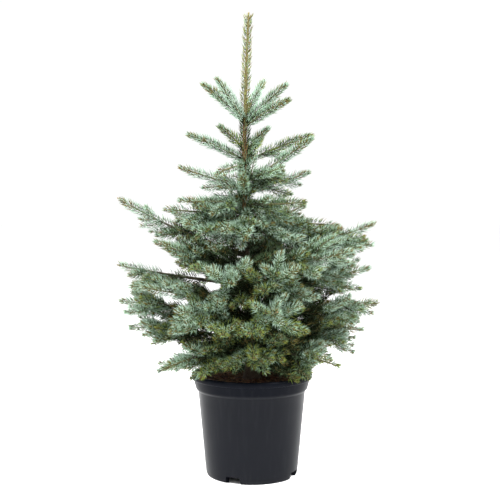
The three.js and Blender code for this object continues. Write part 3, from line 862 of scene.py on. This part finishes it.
class SPRUCE_OT_pot(bpy.types.Operator):
    """Makes the moulded pot with its lip, band and drain notches"""

    bl_idname = "spruce.pot"
    bl_label = "Pot"

    def execute(self, context):
        sizes = context.scene.spruce_pot
        points, faces = lathe(pot_profile(sizes), 160)
        pot = piece_from("pot_shell", points, faces, [pot_material(sizes)])
        for i in range(NOTCH["count"]):
            self.cut_notch(pot, math.radians(NOTCH["first_azimuth"] + 90 * i))
        pot.data.polygons.foreach_set("use_smooth", [True] * len(pot.data.polygons))
        pot.data.set_sharp_from_angle(angle=math.radians(38))
        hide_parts("pot")
        return {"FINISHED"}

    @staticmethod
    def cut_notch(pot, azimuth):
        """Cuts a drain notch that is wider at the floor than at its top."""
        corners = []
        x, y = math.cos(azimuth), math.sin(azimuth)
        foot, top = NOTCH["foot"], NOTCH["top"]
        for radius, half in NOTCH["ends"]:
            top_half = half - NOTCH["draft"]
            for across, height in ((-half, foot), (half, foot), (top_half, top), (-top_half, top)):
                corners.append((radius * x - across * y, radius * y + across * x, height))
        sides = [(3, 2, 1, 0), (4, 5, 6, 7), (0, 1, 5, 4), (1, 2, 6, 5), (2, 3, 7, 6), (3, 0, 4, 7)]
        mesh = bpy.data.meshes.new("notch")
        mesh.from_pydata(corners, [], sides)
        cutter = bpy.data.objects.new("notch", mesh)
        bpy.context.scene.collection.objects.link(cutter)
        cut = pot.modifiers.new("notch", "BOOLEAN")
        cut.object = cutter
        cut.operation = "DIFFERENCE"
        cut.solver = "EXACT"
        whole = pot.evaluated_get(bpy.context.evaluated_depsgraph_get())
        pot.data = bpy.data.meshes.new_from_object(whole)
        pot.modifiers.clear()
        bpy.data.objects.remove(cutter)
        bpy.data.meshes.remove(mesh)


def compost_height(x, y, settings):
    """Height of the compost's surface over the ground line, in mm, at a place in mm. It falls towards the
    pot's wall, rises a little round the trunk and is lumpy all over."""
    wall_radius, mound_height, mound_radius, lumps_per_mm = 130, 2.4, 46, 0.055
    radius = math.hypot(x, y)
    fall = settings.edge_drop / MM * (radius / wall_radius) ** 3
    mound = mound_height * max(0.0, 1 - radius / mound_radius)
    rough = noise.fractal(Vector((x * lumps_per_mm, y * lumps_per_mm, 3.1)), 0.8, 2.1, 4)
    return mound - fall + settings.roughness / MM * (rough - 0.25)


class SPRUCE_OT_compost(bpy.types.Operator):
    """Makes the bed of composted bark, with chips and fibres on it"""

    bl_idname = "spruce.compost"
    bl_label = "Compost"

    def execute(self, context):
        settings = context.scene.spruce_compost
        self.bed(settings, context.scene.spruce_pot)
        self.chips(settings)
        self.fibres(settings)
        return {"FINISHED"}

    @staticmethod
    def bed(settings, pot):
        """A solid with a lumpy top, whose plain body narrows with the pot's wall."""
        segments, rings = 120, 44
        inner, heel = pot.shoulder_radius / MM - 2.4, pot.heel_radius / MM
        edge = inner + 5.2
        base = pot.floor_height / MM + 4 - GROUND
        surface = [(edge * (i / rings) ** 0.9, 0) for i in range(rings + 1)]
        lower = [(inner, -34), (heel - 3.8, base + 8), (heel - 9, base), (0, base)]
        points, faces = lathe(surface + lower, segments)
        top = 1 + rings * segments
        placed = [(x, y, compost_height(x, y, settings)) if i < top else (x, y, z)
                  for i, (x, y, z) in enumerate(points)]
        flipped = [face[::-1] for face in faces]
        material = compost_material("Composted bark, damp", settings.light, settings.dark, 4.0)
        bed = piece_from("compost_bed", to_metres(placed), flipped, [material], smooth=True)
        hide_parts("compost")

    @staticmethod
    def chips(settings):
        """Bark chips: boxes with uneven corners, turned any way and tipped a little."""
        rng = np.random.default_rng(41)
        heap = Heap()
        outermost = 120
        box = np.array([(x, y, z) for z in (-1, 1) for y in (-1, 1) for x in (-1, 1)], float)
        faces = [(0, 2, 3), (0, 3, 1), (4, 5, 7), (4, 7, 6), (0, 1, 5), (0, 5, 4), (2, 6, 7), (2, 7, 3),
                 (0, 4, 6), (0, 6, 2), (1, 3, 7), (1, 7, 5)]
        for _ in range(settings.chips):
            radius, angle = outermost * math.sqrt(rng.uniform(0.045, 1)), rng.uniform(0, 2 * math.pi)
            x, y = radius * math.cos(angle), radius * math.sin(angle)
            half = np.array([rng.uniform(2.6, 7.5), rng.uniform(1.6, 3.8), rng.uniform(0.6, 1.5)])
            shape = box * half * rng.uniform(0.62, 1.0, (8, 1))
            turn, tip, roll = rng.uniform(0, 6.28), rng.normal(0, 0.28), rng.normal(0, 0.28)
            spin = np.array([[math.cos(turn), -math.sin(turn), 0], [math.sin(turn), math.cos(turn), 0],
                             [0, 0, 1]])
            pitch = np.array([[math.cos(tip), 0, math.sin(tip)], [0, 1, 0],
                              [-math.sin(tip), 0, math.cos(tip)]])
            rock = np.array([[1, 0, 0], [0, math.cos(roll), -math.sin(roll)],
                             [0, math.sin(roll), math.cos(roll)]])
            place = [x, y, compost_height(x, y, settings) + half[2] * 0.5]
            heap.add(shape @ (spin @ pitch @ rock).T + place, faces, rng.integers(0, 3))
        points, triangles, kinds = heap.arrays()
        materials = [
            compost_material("Bark chip, reddish", linear("#94603A"), linear("#4A2A18"), 3.0),
            compost_material("Bark chip, dark", linear("#65452F"), linear("#2C1B12"), 3.0),
            compost_material("Bark chip, weathered", linear("#947354"), linear("#55402E"), 3.0),
        ]
        chips = piece_from("bark_chips", to_metres(points), triangles, materials, kinds)

    @staticmethod
    def fibres(settings):
        """Bent fibres that arch a little over the chips."""
        rng = np.random.default_rng(43)
        heap = Heap()
        outermost, above = 112, 1.2
        for _ in range(settings.fibres):
            radius, angle = outermost * math.sqrt(rng.uniform(0.07, 1)), rng.uniform(0, 2 * math.pi)
            heading, bend = rng.uniform(0, 2 * math.pi), rng.normal(0, 0.5)
            length = rng.uniform(9, 20)
            steps = np.linspace(-0.5, 0.5, 6)
            turned = heading + bend * steps
            xs = radius * math.cos(angle) + length * steps * np.cos(turned)
            ys = radius * math.sin(angle) + length * steps * np.sin(turned)
            hump = rng.uniform(0.4, 2.2) * (1 - (2 * steps) ** 2)
            centres = np.array([(x, y, compost_height(x, y, settings) + above + z)
                                for x, y, z in zip(xs, ys, hump)])
            tangents = unit(np.gradient(centres, axis=0))
            heap.add(*tube(centres, tangents, np.full(6, rng.uniform(0.25, 0.5)), 3))
        points, triangles, _ = heap.arrays()
        material = compost_material("Bark fibre, stripped", linear("#A5815A"), linear("#6B4B30"), 2.0)
        piece_from("bark_fibres", to_metres(points), triangles, [material])


def flaky(centres, radii, flake, height):
    """Radii of a tube's corners, raised into bark flakes that are flake mm wide and longer than wide."""
    raised = np.empty(radii.shape)
    around = 2 * math.pi * np.arange(radii.shape[1]) / radii.shape[1]
    for (i, j), radius in np.ndenumerate(radii):
        x = radius * math.cos(around[j]) + centres[i, 0]
        y = radius * math.sin(around[j]) + centres[i, 1]
        place = Vector((x, y, centres[i, 2] * 0.7)) / flake
        cells, _ = noise.voronoi(place)
        crack = min(1.0, (cells[1] - cells[0]) * 2.4)
        raised[i, j] = crack + 0.5 * noise.noise(place * 0.45)
    return radii + height * (raised - 0.7)


class SPRUCE_OT_bark(bpy.types.Operator):
    """Makes the trunk and the boughs with the relief of their bark"""

    bl_idname = "spruce.bark"
    bl_label = "Trunk and boughs"

    def execute(self, context):
        settings = context.scene.spruce_bark
        dark = [c * 0.34 for c in settings.old]
        warm_dark = [c * 0.42 for c in settings.young]
        old = bark_material("Spruce bark, flaked", settings.old, dark, 3.2)
        young = bark_material("Spruce bark, two years old", settings.young, warm_dark, 2.4)
        leader = shoot_material("Spruce leader, this year's skin", settings.leader,
                                [c * 0.6 for c in settings.leader], 2.2)
        self.trunk(settings, [old, young, leader])
        self.boughs(settings, [old])
        return {"FINISHED"}

    @staticmethod
    def trunk(settings, materials):
        """Flakes up to the leader, over three lobes at the foot and a collar under each whorl, and pegs on
        the leader. The bark is old up to young_from."""
        sides, young_from, inset, lobe, collar, peg = 40, 392, 0.35, 0.09, 0.8, 0.22
        barked = np.concatenate([[-2.0], np.linspace(0.5, 120, 90),
                                 np.linspace(121.5, TRUNK["leader_base"], 250)])
        heights = np.concatenate([barked, np.linspace(599, TRUNK["height"] - 1, 90)])
        over = np.maximum(heights, 0)
        centres = TrunkLine.points(over / TRUNK["height"])
        centres[:, 2] = heights
        around = 2 * np.pi * np.arange(sides) / sides
        lobes = 1 + lobe * np.exp(-over / 26)[:, None] * np.cos(3 * around + 0.7)
        collars = sum(np.exp(-(((heights - whorl["height"] + 8) / 9) ** 2)) for whorl in WHORLS[1:])
        radii = trunk_radius(over)[:, None] * lobes - inset + collar * collars[:, None]
        n = len(barked)
        radii[:n] = flaky(centres[:n], radii[:n], 5.5, settings.relief / MM)
        pegs = np.sin(heights[n:] * 2.1)[:, None] * np.sin(5 * around + heights[n:, None] * 0.9)
        radii[n:] += peg * pegs
        radii[-1] = 1.2
        points, faces = tube(centres, np.tile([0.0, 0.0, 1.0], (len(centres), 1)), radii, sides)
        ring = np.minimum(faces.min(axis=1) // sides, len(heights) - 1)
        middle = heights[ring]
        kinds = np.where(middle > TRUNK["leader_base"], 2, np.where(middle > young_from, 1, 0))
        trunk = piece_from("trunk_bark", to_metres(points), faces, materials, kinds, smooth=True)
        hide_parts("trunk")

    @staticmethod
    def boughs(settings, materials):
        """Flaked boughs that swell where they leave the trunk."""
        heap = Heap()
        rings, sides = 46, 12
        boughs = [limb for limb in grown_tree().limbs if limb.bough_share]
        for limb in boughs:
            shares = np.linspace(0.02, limb.bough_share, rings)
            centres = limb.arc.points(shares)
            radii = limb.radius_at(shares)[:, None] * np.ones((1, sides))
            swell = 1 + 0.35 * np.exp(-shares * limb.length / 16)
            radii = flaky(centres, radii * swell[:, None] - 0.1, 2.8, 0.5 * settings.relief / MM)
            heap.add(*tube(centres, limb.arc.tangents(shares), radii, sides))
        points, faces, _ = heap.arrays()
        piece = piece_from("bough_bark", to_metres(points), faces, materials, smooth=True)
        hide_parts(*[f"{limb.name}_bough" for limb in boughs])


def limb_groups():
    """The limbs in groups, a whorl or part of one each, whose needles fit in one joined piece."""
    groups = {"crown": [], "second": [], "third": [], "fourth": []}
    halves = ("left", "right")
    for limb in grown_tree().limbs:
        whorl = WHORLS[limb.keys[0]]["name"]
        if whorl.startswith("crown"):
            groups["crown"].append(limb)
        elif whorl in ("second_whorl", "third_whorl", "fourth_whorl"):
            groups[whorl.split("_")[0]].append(limb)
        else:
            side = halves[int(limb.arc.tip[0] > limb.arc.foot[0])]
            groups.setdefault(f"{whorl.split('_')[0]}_{side}", []).append(limb)
    return groups


class SPRUCE_OT_twigs(bpy.types.Operator):
    """Makes the stems, twigs and buds of all masses"""

    bl_idname = "spruce.twigs"
    bl_label = "Twigs and buds"

    def execute(self, context):
        settings = context.scene.spruce_bark
        older = bark_material("Spruce twig bark, ridged", settings.twig,
                              [c * 0.4 for c in settings.twig], 1.8)
        shoot = shoot_material("Spruce shoot, this year's skin", settings.shoot,
                               [c * 0.7 for c in settings.shoot])
        for name, limbs in limb_groups().items():
            heap = Heap()
            for twig in grown_tree().twigs:
                if twig.limb in limbs:
                    self.add_twig(heap, twig)
            points, faces, kinds = heap.arrays()
            piece = piece_from(f"twigs_{name}", to_metres(points), faces, [older, shoot], kinds, smooth=True)
            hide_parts(*[f"{limb.name}_needles" for limb in limbs])
        self.buds()
        return {"FINISHED"}

    @staticmethod
    def add_twig(heap, twig):
        """A tapering tube, the older bark behind and this year's skin along its tip."""
        sides = 7 if twig.order == 0 else 5
        count = max(4, int(twig.length / 9))
        ups = np.linspace(0, 1, count + 1)
        start = max(0, twig.start - 2 / twig.limb.length) if twig.start else 0.0
        shares = start + (1 - start) * ups
        radii = lerp(*twig.radii, ups ** TAPER)
        radii = radii * (1 + 0.05 * np.sin(ups * count * 2.4))
        points, faces = tube(twig.arc.points(shares), twig.arc.tangents(shares), radii, sides)
        young = twig.limb.growth if twig.order == 0 else 55
        ring = np.minimum(faces.min(axis=1) // sides, count)
        heap.add(points, faces, (ring * twig.length / count > twig.length - young).astype(int))

    @staticmethod
    def buds():
        """A pointed bud on the tip of each twig and of the trunk, and some up the leader."""
        heap = Heap()
        sizes = (1.0, 0.8, 0.62)  # on a stem, a side twig and a fine twig
        places = [(twig.arc.tip, twig.arc.tangents(1.0), sizes[twig.order]) for twig in grown_tree().twigs]
        top = TRUNK["height"] - 5
        places.append((trunk_at(top), TrunkLine.tangents(top / TRUNK["height"]), 1.3))
        for height, azimuth in LEADER_BUDS:
            angle = math.radians(azimuth)
            out = np.array([math.cos(angle), math.sin(angle), 0.0])
            foot = trunk_at(height) + out * (float(trunk_radius(height)) - 0.4)
            places.append((foot, unit(out * 0.6 + np.array([0, 0, 0.8])), 0.9))
        profile = ((-0.6, 0.9), (1.2, 1.8), (3.4, 1.3), (4.6, 0.4))  # height and radius
        for tip, direction, size in places:
            centres = tip + np.array([[up * size] for up, _ in profile]) * direction
            radii = [radius * size for _, radius in profile]
            heap.add(*tube(centres, np.tile(direction, (len(profile), 1)), radii, 4))
        points, faces, _ = heap.arrays()
        points = np.clip(points, BOX_LOW + 0.1, BOX_HIGH - 0.1)
        piece_from("buds", to_metres(points), faces, [bud_material()], smooth=True)


# Each tint's setting, its label and how much of its bloom of wax is left.
TINTS = (
    ("silver", "full wax bloom", 1), ("glaucous", "thin wax bloom", 0.8), ("sage", "last year's", 0.3),
    ("green", "inner crown", 0), ("lime", "yellow-green", 0.3), ("straw", "leader", 0.2),
)
SILVER, GLAUCOUS, SAGE, GREEN, LIME, STRAW = range(6)
FLESH = (0.74, 0.84, 0.74)  # the needle under its wax, as a share of the wax's red, green and blue

# What each tint becomes, in the order above: on the foot half of a needle, by turns, darker as painted shade
# between the needles; in clumps where the wax is worn or fresh; and darker as painted shade behind a twig's
# tip and deep in the lower crown.
FOOT_SHADE_TINTS = np.array([(SAGE, SAGE, GREEN, GREEN, GREEN, STRAW), (SAGE, GREEN, GREEN, GREEN, SAGE, GREEN)])
WORN_TINTS = (GLAUCOUS, SAGE, LIME, SAGE, SAGE, STRAW)
FRESH_TINTS = (SILVER, SILVER, GLAUCOUS, GREEN, GLAUCOUS, STRAW)
SHADED_TINTS = np.array((SAGE, SAGE, GREEN, GREEN, SAGE, GREEN))

# The share of each tint among the sprays, by height from the crown's foot to its top.
TINT_SHARES = {
    40: (0.08, 0.24, 0.30, 0.08, 0.30, 0.00),
    170: (0.24, 0.32, 0.24, 0.04, 0.16, 0.00),
    300: (0.46, 0.34, 0.14, 0.00, 0.06, 0.00),
    460: (0.24, 0.46, 0.28, 0.00, 0.02, 0.00),
    840: (0.30, 0.50, 0.20, 0.00, 0.00, 0.00),
}
# What those shares are multiplied by inside the crown, low and high, at its outside, and low in the crown at
# its front and back and on its flanks. Inside, the greener tints are partly the older needles' own colour
# and partly painted shade; low at the front and back they are painted shade under the upper crown, and the
# bluer flanks are painted light.
INSIDE_LOW, INSIDE_HIGH = np.array([0.02, 0.1, 0.7, 8, 0.5, 0]), np.array([0.8, 1, 1, 0.6, 0.6, 0])
OUTSIDE = np.array([1.5, 1.3, 0.9, 0.1, 0.9, 0])
FRONT_SHADE, FLANK_LIGHT = np.array([0.15, 0.5, 1.3, 1.8, 2.6, 0]), np.array([3.0, 1.8, 0.7, 0.1, 0.4, 0])
INSIDE = {"front": 0.76, "flank": 0.62, "high": 0.68, "high_over": 260, "green": 0.04}
OUTSIDE_OVER = 0.82

# How a twig bears its needles, in mm, degrees and shares. Three numbers in brackets are for a stem, a side
# twig and a fine twig.
SPRAY = {
    "density": (1.45, 1.0, 1.0), "inner_density": 0.58, "inner_under": 0.5, "tuft": 9, "tuft_lean": (6, 34),
    "closing": (40, 26, 26), "tip_lean": 27, "foot_share": 0.72, "grown_by": 60, "tip_share": 0.66,
    "clump": 5, "worn_under": 0.24, "fresh_over": 0.88, "short": 0.18, "short_share": 0.6,
    "shaded_from": (150, 84, 52), "shaded_depth": 0.6, "deep_shade_under": 300, "tanned": (42, 13, 7),
    "tanned_share": 0.34, "green_after": 100, "aged_after": 20, "thinned_aged": 0.95, "thinned_young": 0.6,
    # Heights of twigs, and what the number of their needles and their length is multiplied by there.
    "denser": ((480, 540), (1.0, 1.35)), "longer": ((60, 300, 560), (1.06, 1.0, 0.97)),
}
# The needles on the trunk itself: from, to, length in metres, lean in degrees, needles per cm and tints.
LEADER_SPRAY = (606, TRUNK["height"] - 3, 0.0165, 42, 17.0, (STRAW, STRAW, SAGE, LIME))
STEM_SPRAYS = (
    (370, 500, 0.0175, 52, 46.0, (GLAUCOUS, SAGE, GREEN, SAGE)),
    (500, 596, 0.0175, 46, 30.0, (STRAW, GREEN, SAGE, GREEN)),
)
# A needle turns up by its lift, over the twig and under it, and leaves the twig more steeply than it ends.
NEEDLE = {"lift_over": 0.10, "lift_under": 0.26, "steeper": 0.2, "waist": 0.42, "ragged": 3, "pot_gap": 1.5}


def depth_at(twig, places):
    """How far out from the trunk each place is, as a share of the limb's reach."""
    trunk = trunk_at(np.maximum(places[..., 2], 0))
    return np.linalg.norm((places - trunk)[..., :2], axis=-1) / twig.limb.reach


def tint_of(twig, rng):
    """The tint that is dealt to a spray: silver outside and high up, green inside and low down. The green
    inside is partly the older needles' own colour and partly painted shade. Low in the crown its two flanks
    are the bluest, as painted light, and its front and back the greenest, as painted shade."""
    tip = twig.arc.tip
    shares = np.array([np.interp(tip[2], list(TINT_SHARES), tint) for tint in zip(*TINT_SHARES.values())])
    depth = depth_at(twig, tip)
    aside = min(1, abs(tip[0]) / 200)
    low_inside = lerp(INSIDE["front"], INSIDE["flank"], aside)
    # Partly painted shade: the inside of the crown takes the greener tints.
    if depth < (low_inside if tip[2] < INSIDE["high_over"] else INSIDE["high"]):
        rising = min(1, max(0, tip[2] / 90 - 2.9))
        shares = (shares + [0, 0, 0, INSIDE["green"], 0, 0]) * lerp(INSIDE_LOW, INSIDE_HIGH, rising)
    elif depth > OUTSIDE_OVER:
        shares = shares * OUTSIDE
    # Painted shade at the front and back low in the crown, and painted light on its flanks.
    low = min(1, max(0, lerp(1.6, 1.15, aside) - tip[2] / 260))
    shares = shares * lerp(np.ones(len(TINTS)), lerp(FRONT_SHADE, FLANK_LIGHT, aside), low)
    return int(rng.choice(len(TINTS), p=shares / shares.sum()))


class SPRUCE_OT_needles(bpy.types.Operator):
    """Makes the sprays of needles on all twigs and on the leader"""

    bl_idname = "spruce.needles"
    bl_label = "Needles"

    def execute(self, context):
        settings = context.scene.spruce_needles
        materials = []
        for tint, label, bloom in TINTS:
            wax = list(getattr(settings, tint))
            flesh = [c * share for c, share in zip(wax, FLESH)]
            materials.append(needle_material(f"Spruce needle, {label}", wax, flesh, bloom))
        for group, (name, limbs) in enumerate(limb_groups().items()):
            rng = np.random.default_rng(700 + group)
            batches = [self.spray(twig, settings, rng) for twig in grown_tree().twigs if twig.limb in limbs]
            nodes = [f"{limb.name}_needles" for limb in limbs]
            self.make_piece(f"needles_{name}", batches, materials, nodes)
        rng = np.random.default_rng(777)
        leader = self.on_trunk(*LEADER_SPRAY, settings, rng)
        self.make_piece("needles_leader", [leader], materials, ["leader_needles"])
        stem = [self.on_trunk(*spray, settings, rng) for spray in STEM_SPRAYS]
        self.make_piece("needles_upper_stem", stem, materials, ["upper_stem_needles"])
        return {"FINISHED"}

    def spray(self, twig, settings, rng):
        """The needles of one twig, all round it in a spiral, with a tuft round its end bud."""
        order, height, tuft = twig.order, twig.arc.tip[2], SPRAY["tuft"]
        bare = twig.bare / twig.length
        inner = order == 2 and depth_at(twig, twig.arc.tip) < SPRAY["inner_under"]
        density = settings.per_cm / 10 * (SPRAY["inner_density"] if inner else SPRAY["density"][order])
        density *= np.interp(height, *SPRAY["denser"])
        count = int(twig.length * (1 - bare) * density)
        ups = np.linspace(bare, 1, count, endpoint=False) + rng.uniform(0, 0.01, count)
        ups = np.minimum(np.concatenate([ups, np.full(tuft, 0.995)]), 1)
        from_tip = (1 - ups) * twig.length
        turns = np.arange(len(ups)) * GOLDEN_ANGLE + rng.uniform(0, 6.28) + rng.normal(0, 0.12, len(ups))
        closing = np.clip(1 - from_tip / SPRAY["closing"][order], 0, 1)
        lean = lerp(settings.lean, math.radians(SPRAY["tip_lean"]), closing ** 1.4)
        lean = lean + rng.normal(0, 0.09, len(ups))
        lean[-tuft:] = rng.uniform(*[math.radians(angle) for angle in SPRAY["tuft_lean"]], tuft)
        foot_share = SPRAY["foot_share"]
        grown = np.clip(foot_share + (ups - bare) * twig.length / SPRAY["grown_by"], foot_share, 1)
        grown = grown * lerp(1, SPRAY["tip_share"], closing) * np.interp(height, *SPRAY["longer"])
        length = settings.length / MM * grown * rng.normal(1, 0.08, len(ups)).clip(0.8, 1.18)
        kinds, short = self.tints_along(twig, ups, from_tip, turns, rng)
        length[short] *= SPRAY["short_share"]
        radius = lerp(*twig.radii, ups ** TAPER) * 0.8
        thinned = True
        if order == 0:
            aged = from_tip > twig.limb.growth + SPRAY["aged_after"]
            thinned = rng.random(len(ups)) < np.where(aged, SPRAY["thinned_aged"], SPRAY["thinned_young"])
        return place_needles(twig.arc, twig.shares(ups), turns, radius, lean, length, kinds, thinned,
                             settings, rng)

    @staticmethod
    def tints_along(twig, ups, from_tip, turns, rng):
        """The tint of each needle of a spray, and whether it is one of the short ones, which are dark green
        as painted shade in the spray's core. The dealt tint is worn or fresh in clumps, darkened as painted
        shade behind the tip and deep in the lower crown, and tanned at the tip."""
        order, count, clump = twig.order, len(ups), SPRAY["clump"]
        tint = tint_of(twig, rng)
        kinds = np.full(count, tint)
        cells = np.floor(turns % (2 * np.pi)).astype(int), np.floor(from_tip / clump).astype(int)
        worn = rng.random((7, int(twig.length / clump) + 2))[cells]
        kinds[worn < SPRAY["worn_under"]] = WORN_TINTS[tint]
        kinds[worn > SPRAY["fresh_over"]] = FRESH_TINTS[tint]
        # Painted shade: needles behind a twig's tip, and deep inside the lower crown, take darker tints.
        shaded = from_tip > SPRAY["shaded_from"][order] + rng.normal(0, 5, count)
        if twig.limb.foot_height < SPRAY["deep_shade_under"]:
            depth = depth_at(twig, twig.arc.points(twig.shares(ups)))
            shaded |= depth < SPRAY["shaded_depth"] + rng.normal(0, 0.04, count)
        kinds[shaded] = SHADED_TINTS[kinds[shaded]]
        # Painted shade: the short needles near the twig take the darkest green.
        short = rng.random(count) < SPRAY["short"]
        kinds[short] = GREEN
        tanned = (from_tip < SPRAY["tanned"][order]) & (rng.random(count) < SPRAY["tanned_share"])
        kinds[tanned] = STRAW
        if order == 0:
            kinds[from_tip > twig.limb.growth + SPRAY["green_after"]] = GREEN
        return kinds, short

    @staticmethod
    def on_trunk(low, high, needle, lean, per_cm, tints, settings, rng):
        """Needles that stand on the trunk between two heights, with a tuft at the upper one. They close in
        on the trunk round its end bud."""
        count = int((high - low) * per_cm / 10)
        tuft, tuft_depth = 44, 12
        heights = np.linspace(low, high, count) + rng.uniform(-1, 1, count)
        heights = np.concatenate([heights, rng.uniform(high - tuft_depth, high, tuft)])
        closing = np.clip(1 - (TRUNK["height"] - heights) / 14, 0, 1)
        turns = np.arange(len(heights)) * GOLDEN_ANGLE + rng.normal(0, 0.2, len(heights))
        leans = lerp(math.radians(lean), math.radians(20), closing) + rng.normal(0, 0.12, len(heights))
        length = needle / MM * rng.normal(1, 0.1, len(heights)).clip(0.75, 1.2)
        kinds = rng.choice(tints, len(heights))
        radius = trunk_radius(np.minimum(heights, TRUNK["height"])) * 0.85
        return place_needles(TrunkLine, heights / TRUNK["height"], turns, radius, leans, length, kinds,
                             False, settings, rng)

    @staticmethod
    def make_piece(name, batches, materials, nodes):
        """Joins needles into one piece, each with three faces on its foot half and three on its tip half.
        The foot half takes a darker tint, as painted shade between the needles.
        """
        corners = np.concatenate([corners for corners, _ in batches])
        kinds = np.concatenate([kinds for _, kinds in batches])
        shape = np.array([(0, 2, 1), (0, 3, 2), (0, 1, 3), (4, 1, 2), (4, 2, 3), (4, 3, 1)])
        numbers = np.arange(len(corners))
        faces = (shape[None] + 5 * numbers[:, None, None]).reshape(-1, 3)
        # Painted shade: the foot half of each needle takes a darker tint.
        feet = FOOT_SHADE_TINTS[numbers % 2, kinds]
        tints = np.stack([feet] * 3 + [kinds] * 3, axis=1).ravel()
        piece = piece_from(name, to_metres(corners.reshape(-1, 3)), faces, materials, tints)
        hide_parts(*nodes)


def place_needles(line, shares, turns, radius, lean, length, kinds, thinned, settings, rng):
    """Corners of slim needles with a three-sided waist. Each leaves its twig steeply, bends towards the
    twig's tip and lifts a little. Needles that would touch the pot or leave the part's box are skipped,
    and so are thinned ones in places where the sky shows."""
    centres, forward = line.points(shares), line.tangents(shares)
    left = left_of(forward[len(forward) // 2])
    across = square_to(forward, np.broadcast_to(left, forward.shape))
    over = np.cross(forward, across)
    out = np.cos(turns)[:, None] * across + np.sin(turns)[:, None] * over
    feet = centres + out * radius[:, None]
    lift = np.where(out[:, 2] < 0, NEEDLE["lift_under"], NEEDLE["lift_over"])[:, None] * [0, 0, 1.0]
    ending = unit(out * np.sin(lean)[:, None] + forward * np.cos(lean)[:, None] + lift)
    wider = lean + NEEDLE["steeper"]
    leaving = unit(out * np.sin(wider)[:, None] + forward * np.cos(wider)[:, None] + lift * 0.5)
    waists = feet + leaving * (length * NEEDLE["waist"])[:, None]
    tips = feet + ending * length[:, None]
    side = unit(np.cross(ending, forward + 1e-3))
    up = np.cross(ending, side)
    roll = rng.uniform(0, 2 * np.pi, len(tips))
    half = settings.width / MM / 2 * rng.uniform(0.92, 1.1, len(tips))
    corners = np.empty((len(tips), 5, 3))
    corners[:, 0], corners[:, 4] = feet, tips
    for k in range(3):
        angle = roll + 2 * np.pi * k / 3
        corners[:, k + 1] = waists + half[:, None] * (
            np.cos(angle)[:, None] * side + np.sin(angle)[:, None] * up)
    kept = ((corners > BOX_LOW) & (corners < BOX_HIGH)).all(axis=(1, 2))
    ragged = tips + rng.normal(0, NEEDLE["ragged"], tips.shape)
    kept &= clear_of_pot(tips, NEEDLE["pot_gap"]) & clear_of_pot(waists, NEEDLE["pot_gap"])
    kept &= ~(in_sky(ragged) & thinned)
    return corners[kept], kinds[kept]


LAMP_SIZE = 1.4
LAMPS = {"key_lamp": ((-1.7, -0.9, 2.9), 1.0), "fill_lamp": ((1.9, -0.7, 2.6), 0.7)}  # place, share of power
CAMERA = {"aside": -0.004, "down": 2.37}  # x in metres, and degrees


class SPRUCE_OT_studio(bpy.types.Operator):
    """Makes the pale floor, the white surround, the soft lamps and the camera"""

    bl_idname = "spruce.studio"
    bl_label = "Studio"

    def execute(self, context):
        scene, studio = context.scene, context.scene.spruce_studio
        points, faces = lathe([(0, 0), (1, 0), (4, 0), (10, 0), (40, 0)], 64)
        mesh = bpy.data.meshes.new("floor")
        mesh.from_pydata(points, [], faces)
        mesh.materials.append(floor_material(studio))
        floor = bpy.data.objects.new("floor", mesh)
        scene.collection.objects.link(floor)

        world = bpy.data.worlds.new("White surround")
        world.use_nodes = True
        background = world.node_tree.nodes["Background"]
        background.inputs["Color"].default_value = (1, 1, 1, 1)
        background.inputs["Strength"].default_value = studio.sky
        scene.world = world
        for name, (place, share) in LAMPS.items():
            self.lamp(scene, name, place, studio.key * share)

        camera = bpy.data.objects.new("camera", bpy.data.cameras.new("camera"))
        camera.data.sensor_width = 36
        camera.data.lens = studio.lens
        camera.location = (CAMERA["aside"], -studio.distance, studio.height)
        camera.rotation_euler = (math.radians(90 - CAMERA["down"]), 0, 0)
        scene.collection.objects.link(camera)
        scene.camera = camera
        scene.view_settings.view_transform = "Standard"
        scene.view_settings.look = "None"
        return {"FINISHED"}

    @staticmethod
    def lamp(scene, name, place, power):
        """A soft round lamp that points at the middle of the plant."""
        lamp = bpy.data.lights.new(name, "AREA")
        lamp.shape = "DISK"
        lamp.size = LAMP_SIZE
        lamp.energy = power
        holder = bpy.data.objects.new(name, lamp)
        holder.location = place
        aim = Vector((0, 0, 0.5)) - Vector(place)
        holder.rotation_euler = aim.to_track_quat("-Z", "Y").to_euler()
        scene.collection.objects.link(holder)


class SPRUCE_PT_panel(bpy.types.Panel):
    """Lists the makers of the potted spruce and their settings"""

    bl_idname = "SPRUCE_PT_panel"
    bl_label = "Potted spruce"
    bl_space_type = "VIEW_3D"
    bl_region_type = "UI"
    bl_category = "Spruce"

    def draw(self, context):
        for maker, settings in MAKERS:
            box = self.layout.box()
            box.operator(maker.bl_idname, text=maker.bl_label)
            group = getattr(context.scene, settings)
            for name in group.bl_rna.properties.keys():
                if name not in ("rna_type", "name"):
                    box.prop(group, name)


SETTINGS = {
    "spruce_pot": SPRUCE_PG_pot,
    "spruce_compost": SPRUCE_PG_compost,
    "spruce_bark": SPRUCE_PG_bark,
    "spruce_needles": SPRUCE_PG_needles,
    "spruce_studio": SPRUCE_PG_studio,
}
MAKERS = (
    (SPRUCE_OT_pot, "spruce_pot"),
    (SPRUCE_OT_compost, "spruce_compost"),
    (SPRUCE_OT_bark, "spruce_bark"),
    (SPRUCE_OT_twigs, "spruce_bark"),
    (SPRUCE_OT_needles, "spruce_needles"),
    (SPRUCE_OT_studio, "spruce_studio"),
)


def register():
    for name, group in SETTINGS.items():
        bpy.utils.register_class(group)
        setattr(bpy.types.Scene, name, PointerProperty(type=group))
    for maker, _ in MAKERS:
        bpy.utils.register_class(maker)
    bpy.utils.register_class(SPRUCE_PT_panel)


def unregister():
    bpy.utils.unregister_class(SPRUCE_PT_panel)
    for maker, _ in reversed(MAKERS):
        bpy.utils.unregister_class(maker)
    for name, group in reversed(SETTINGS.items()):
        delattr(bpy.types.Scene, name)
        bpy.utils.unregister_class(group)


def main():
    register()
    bpy.ops.spruce.pot()
    bpy.ops.spruce.compost()
    bpy.ops.spruce.bark()
    bpy.ops.spruce.twigs()
    bpy.ops.spruce.needles()
    bpy.ops.spruce.studio()


if __name__ == "__main__":
    main()
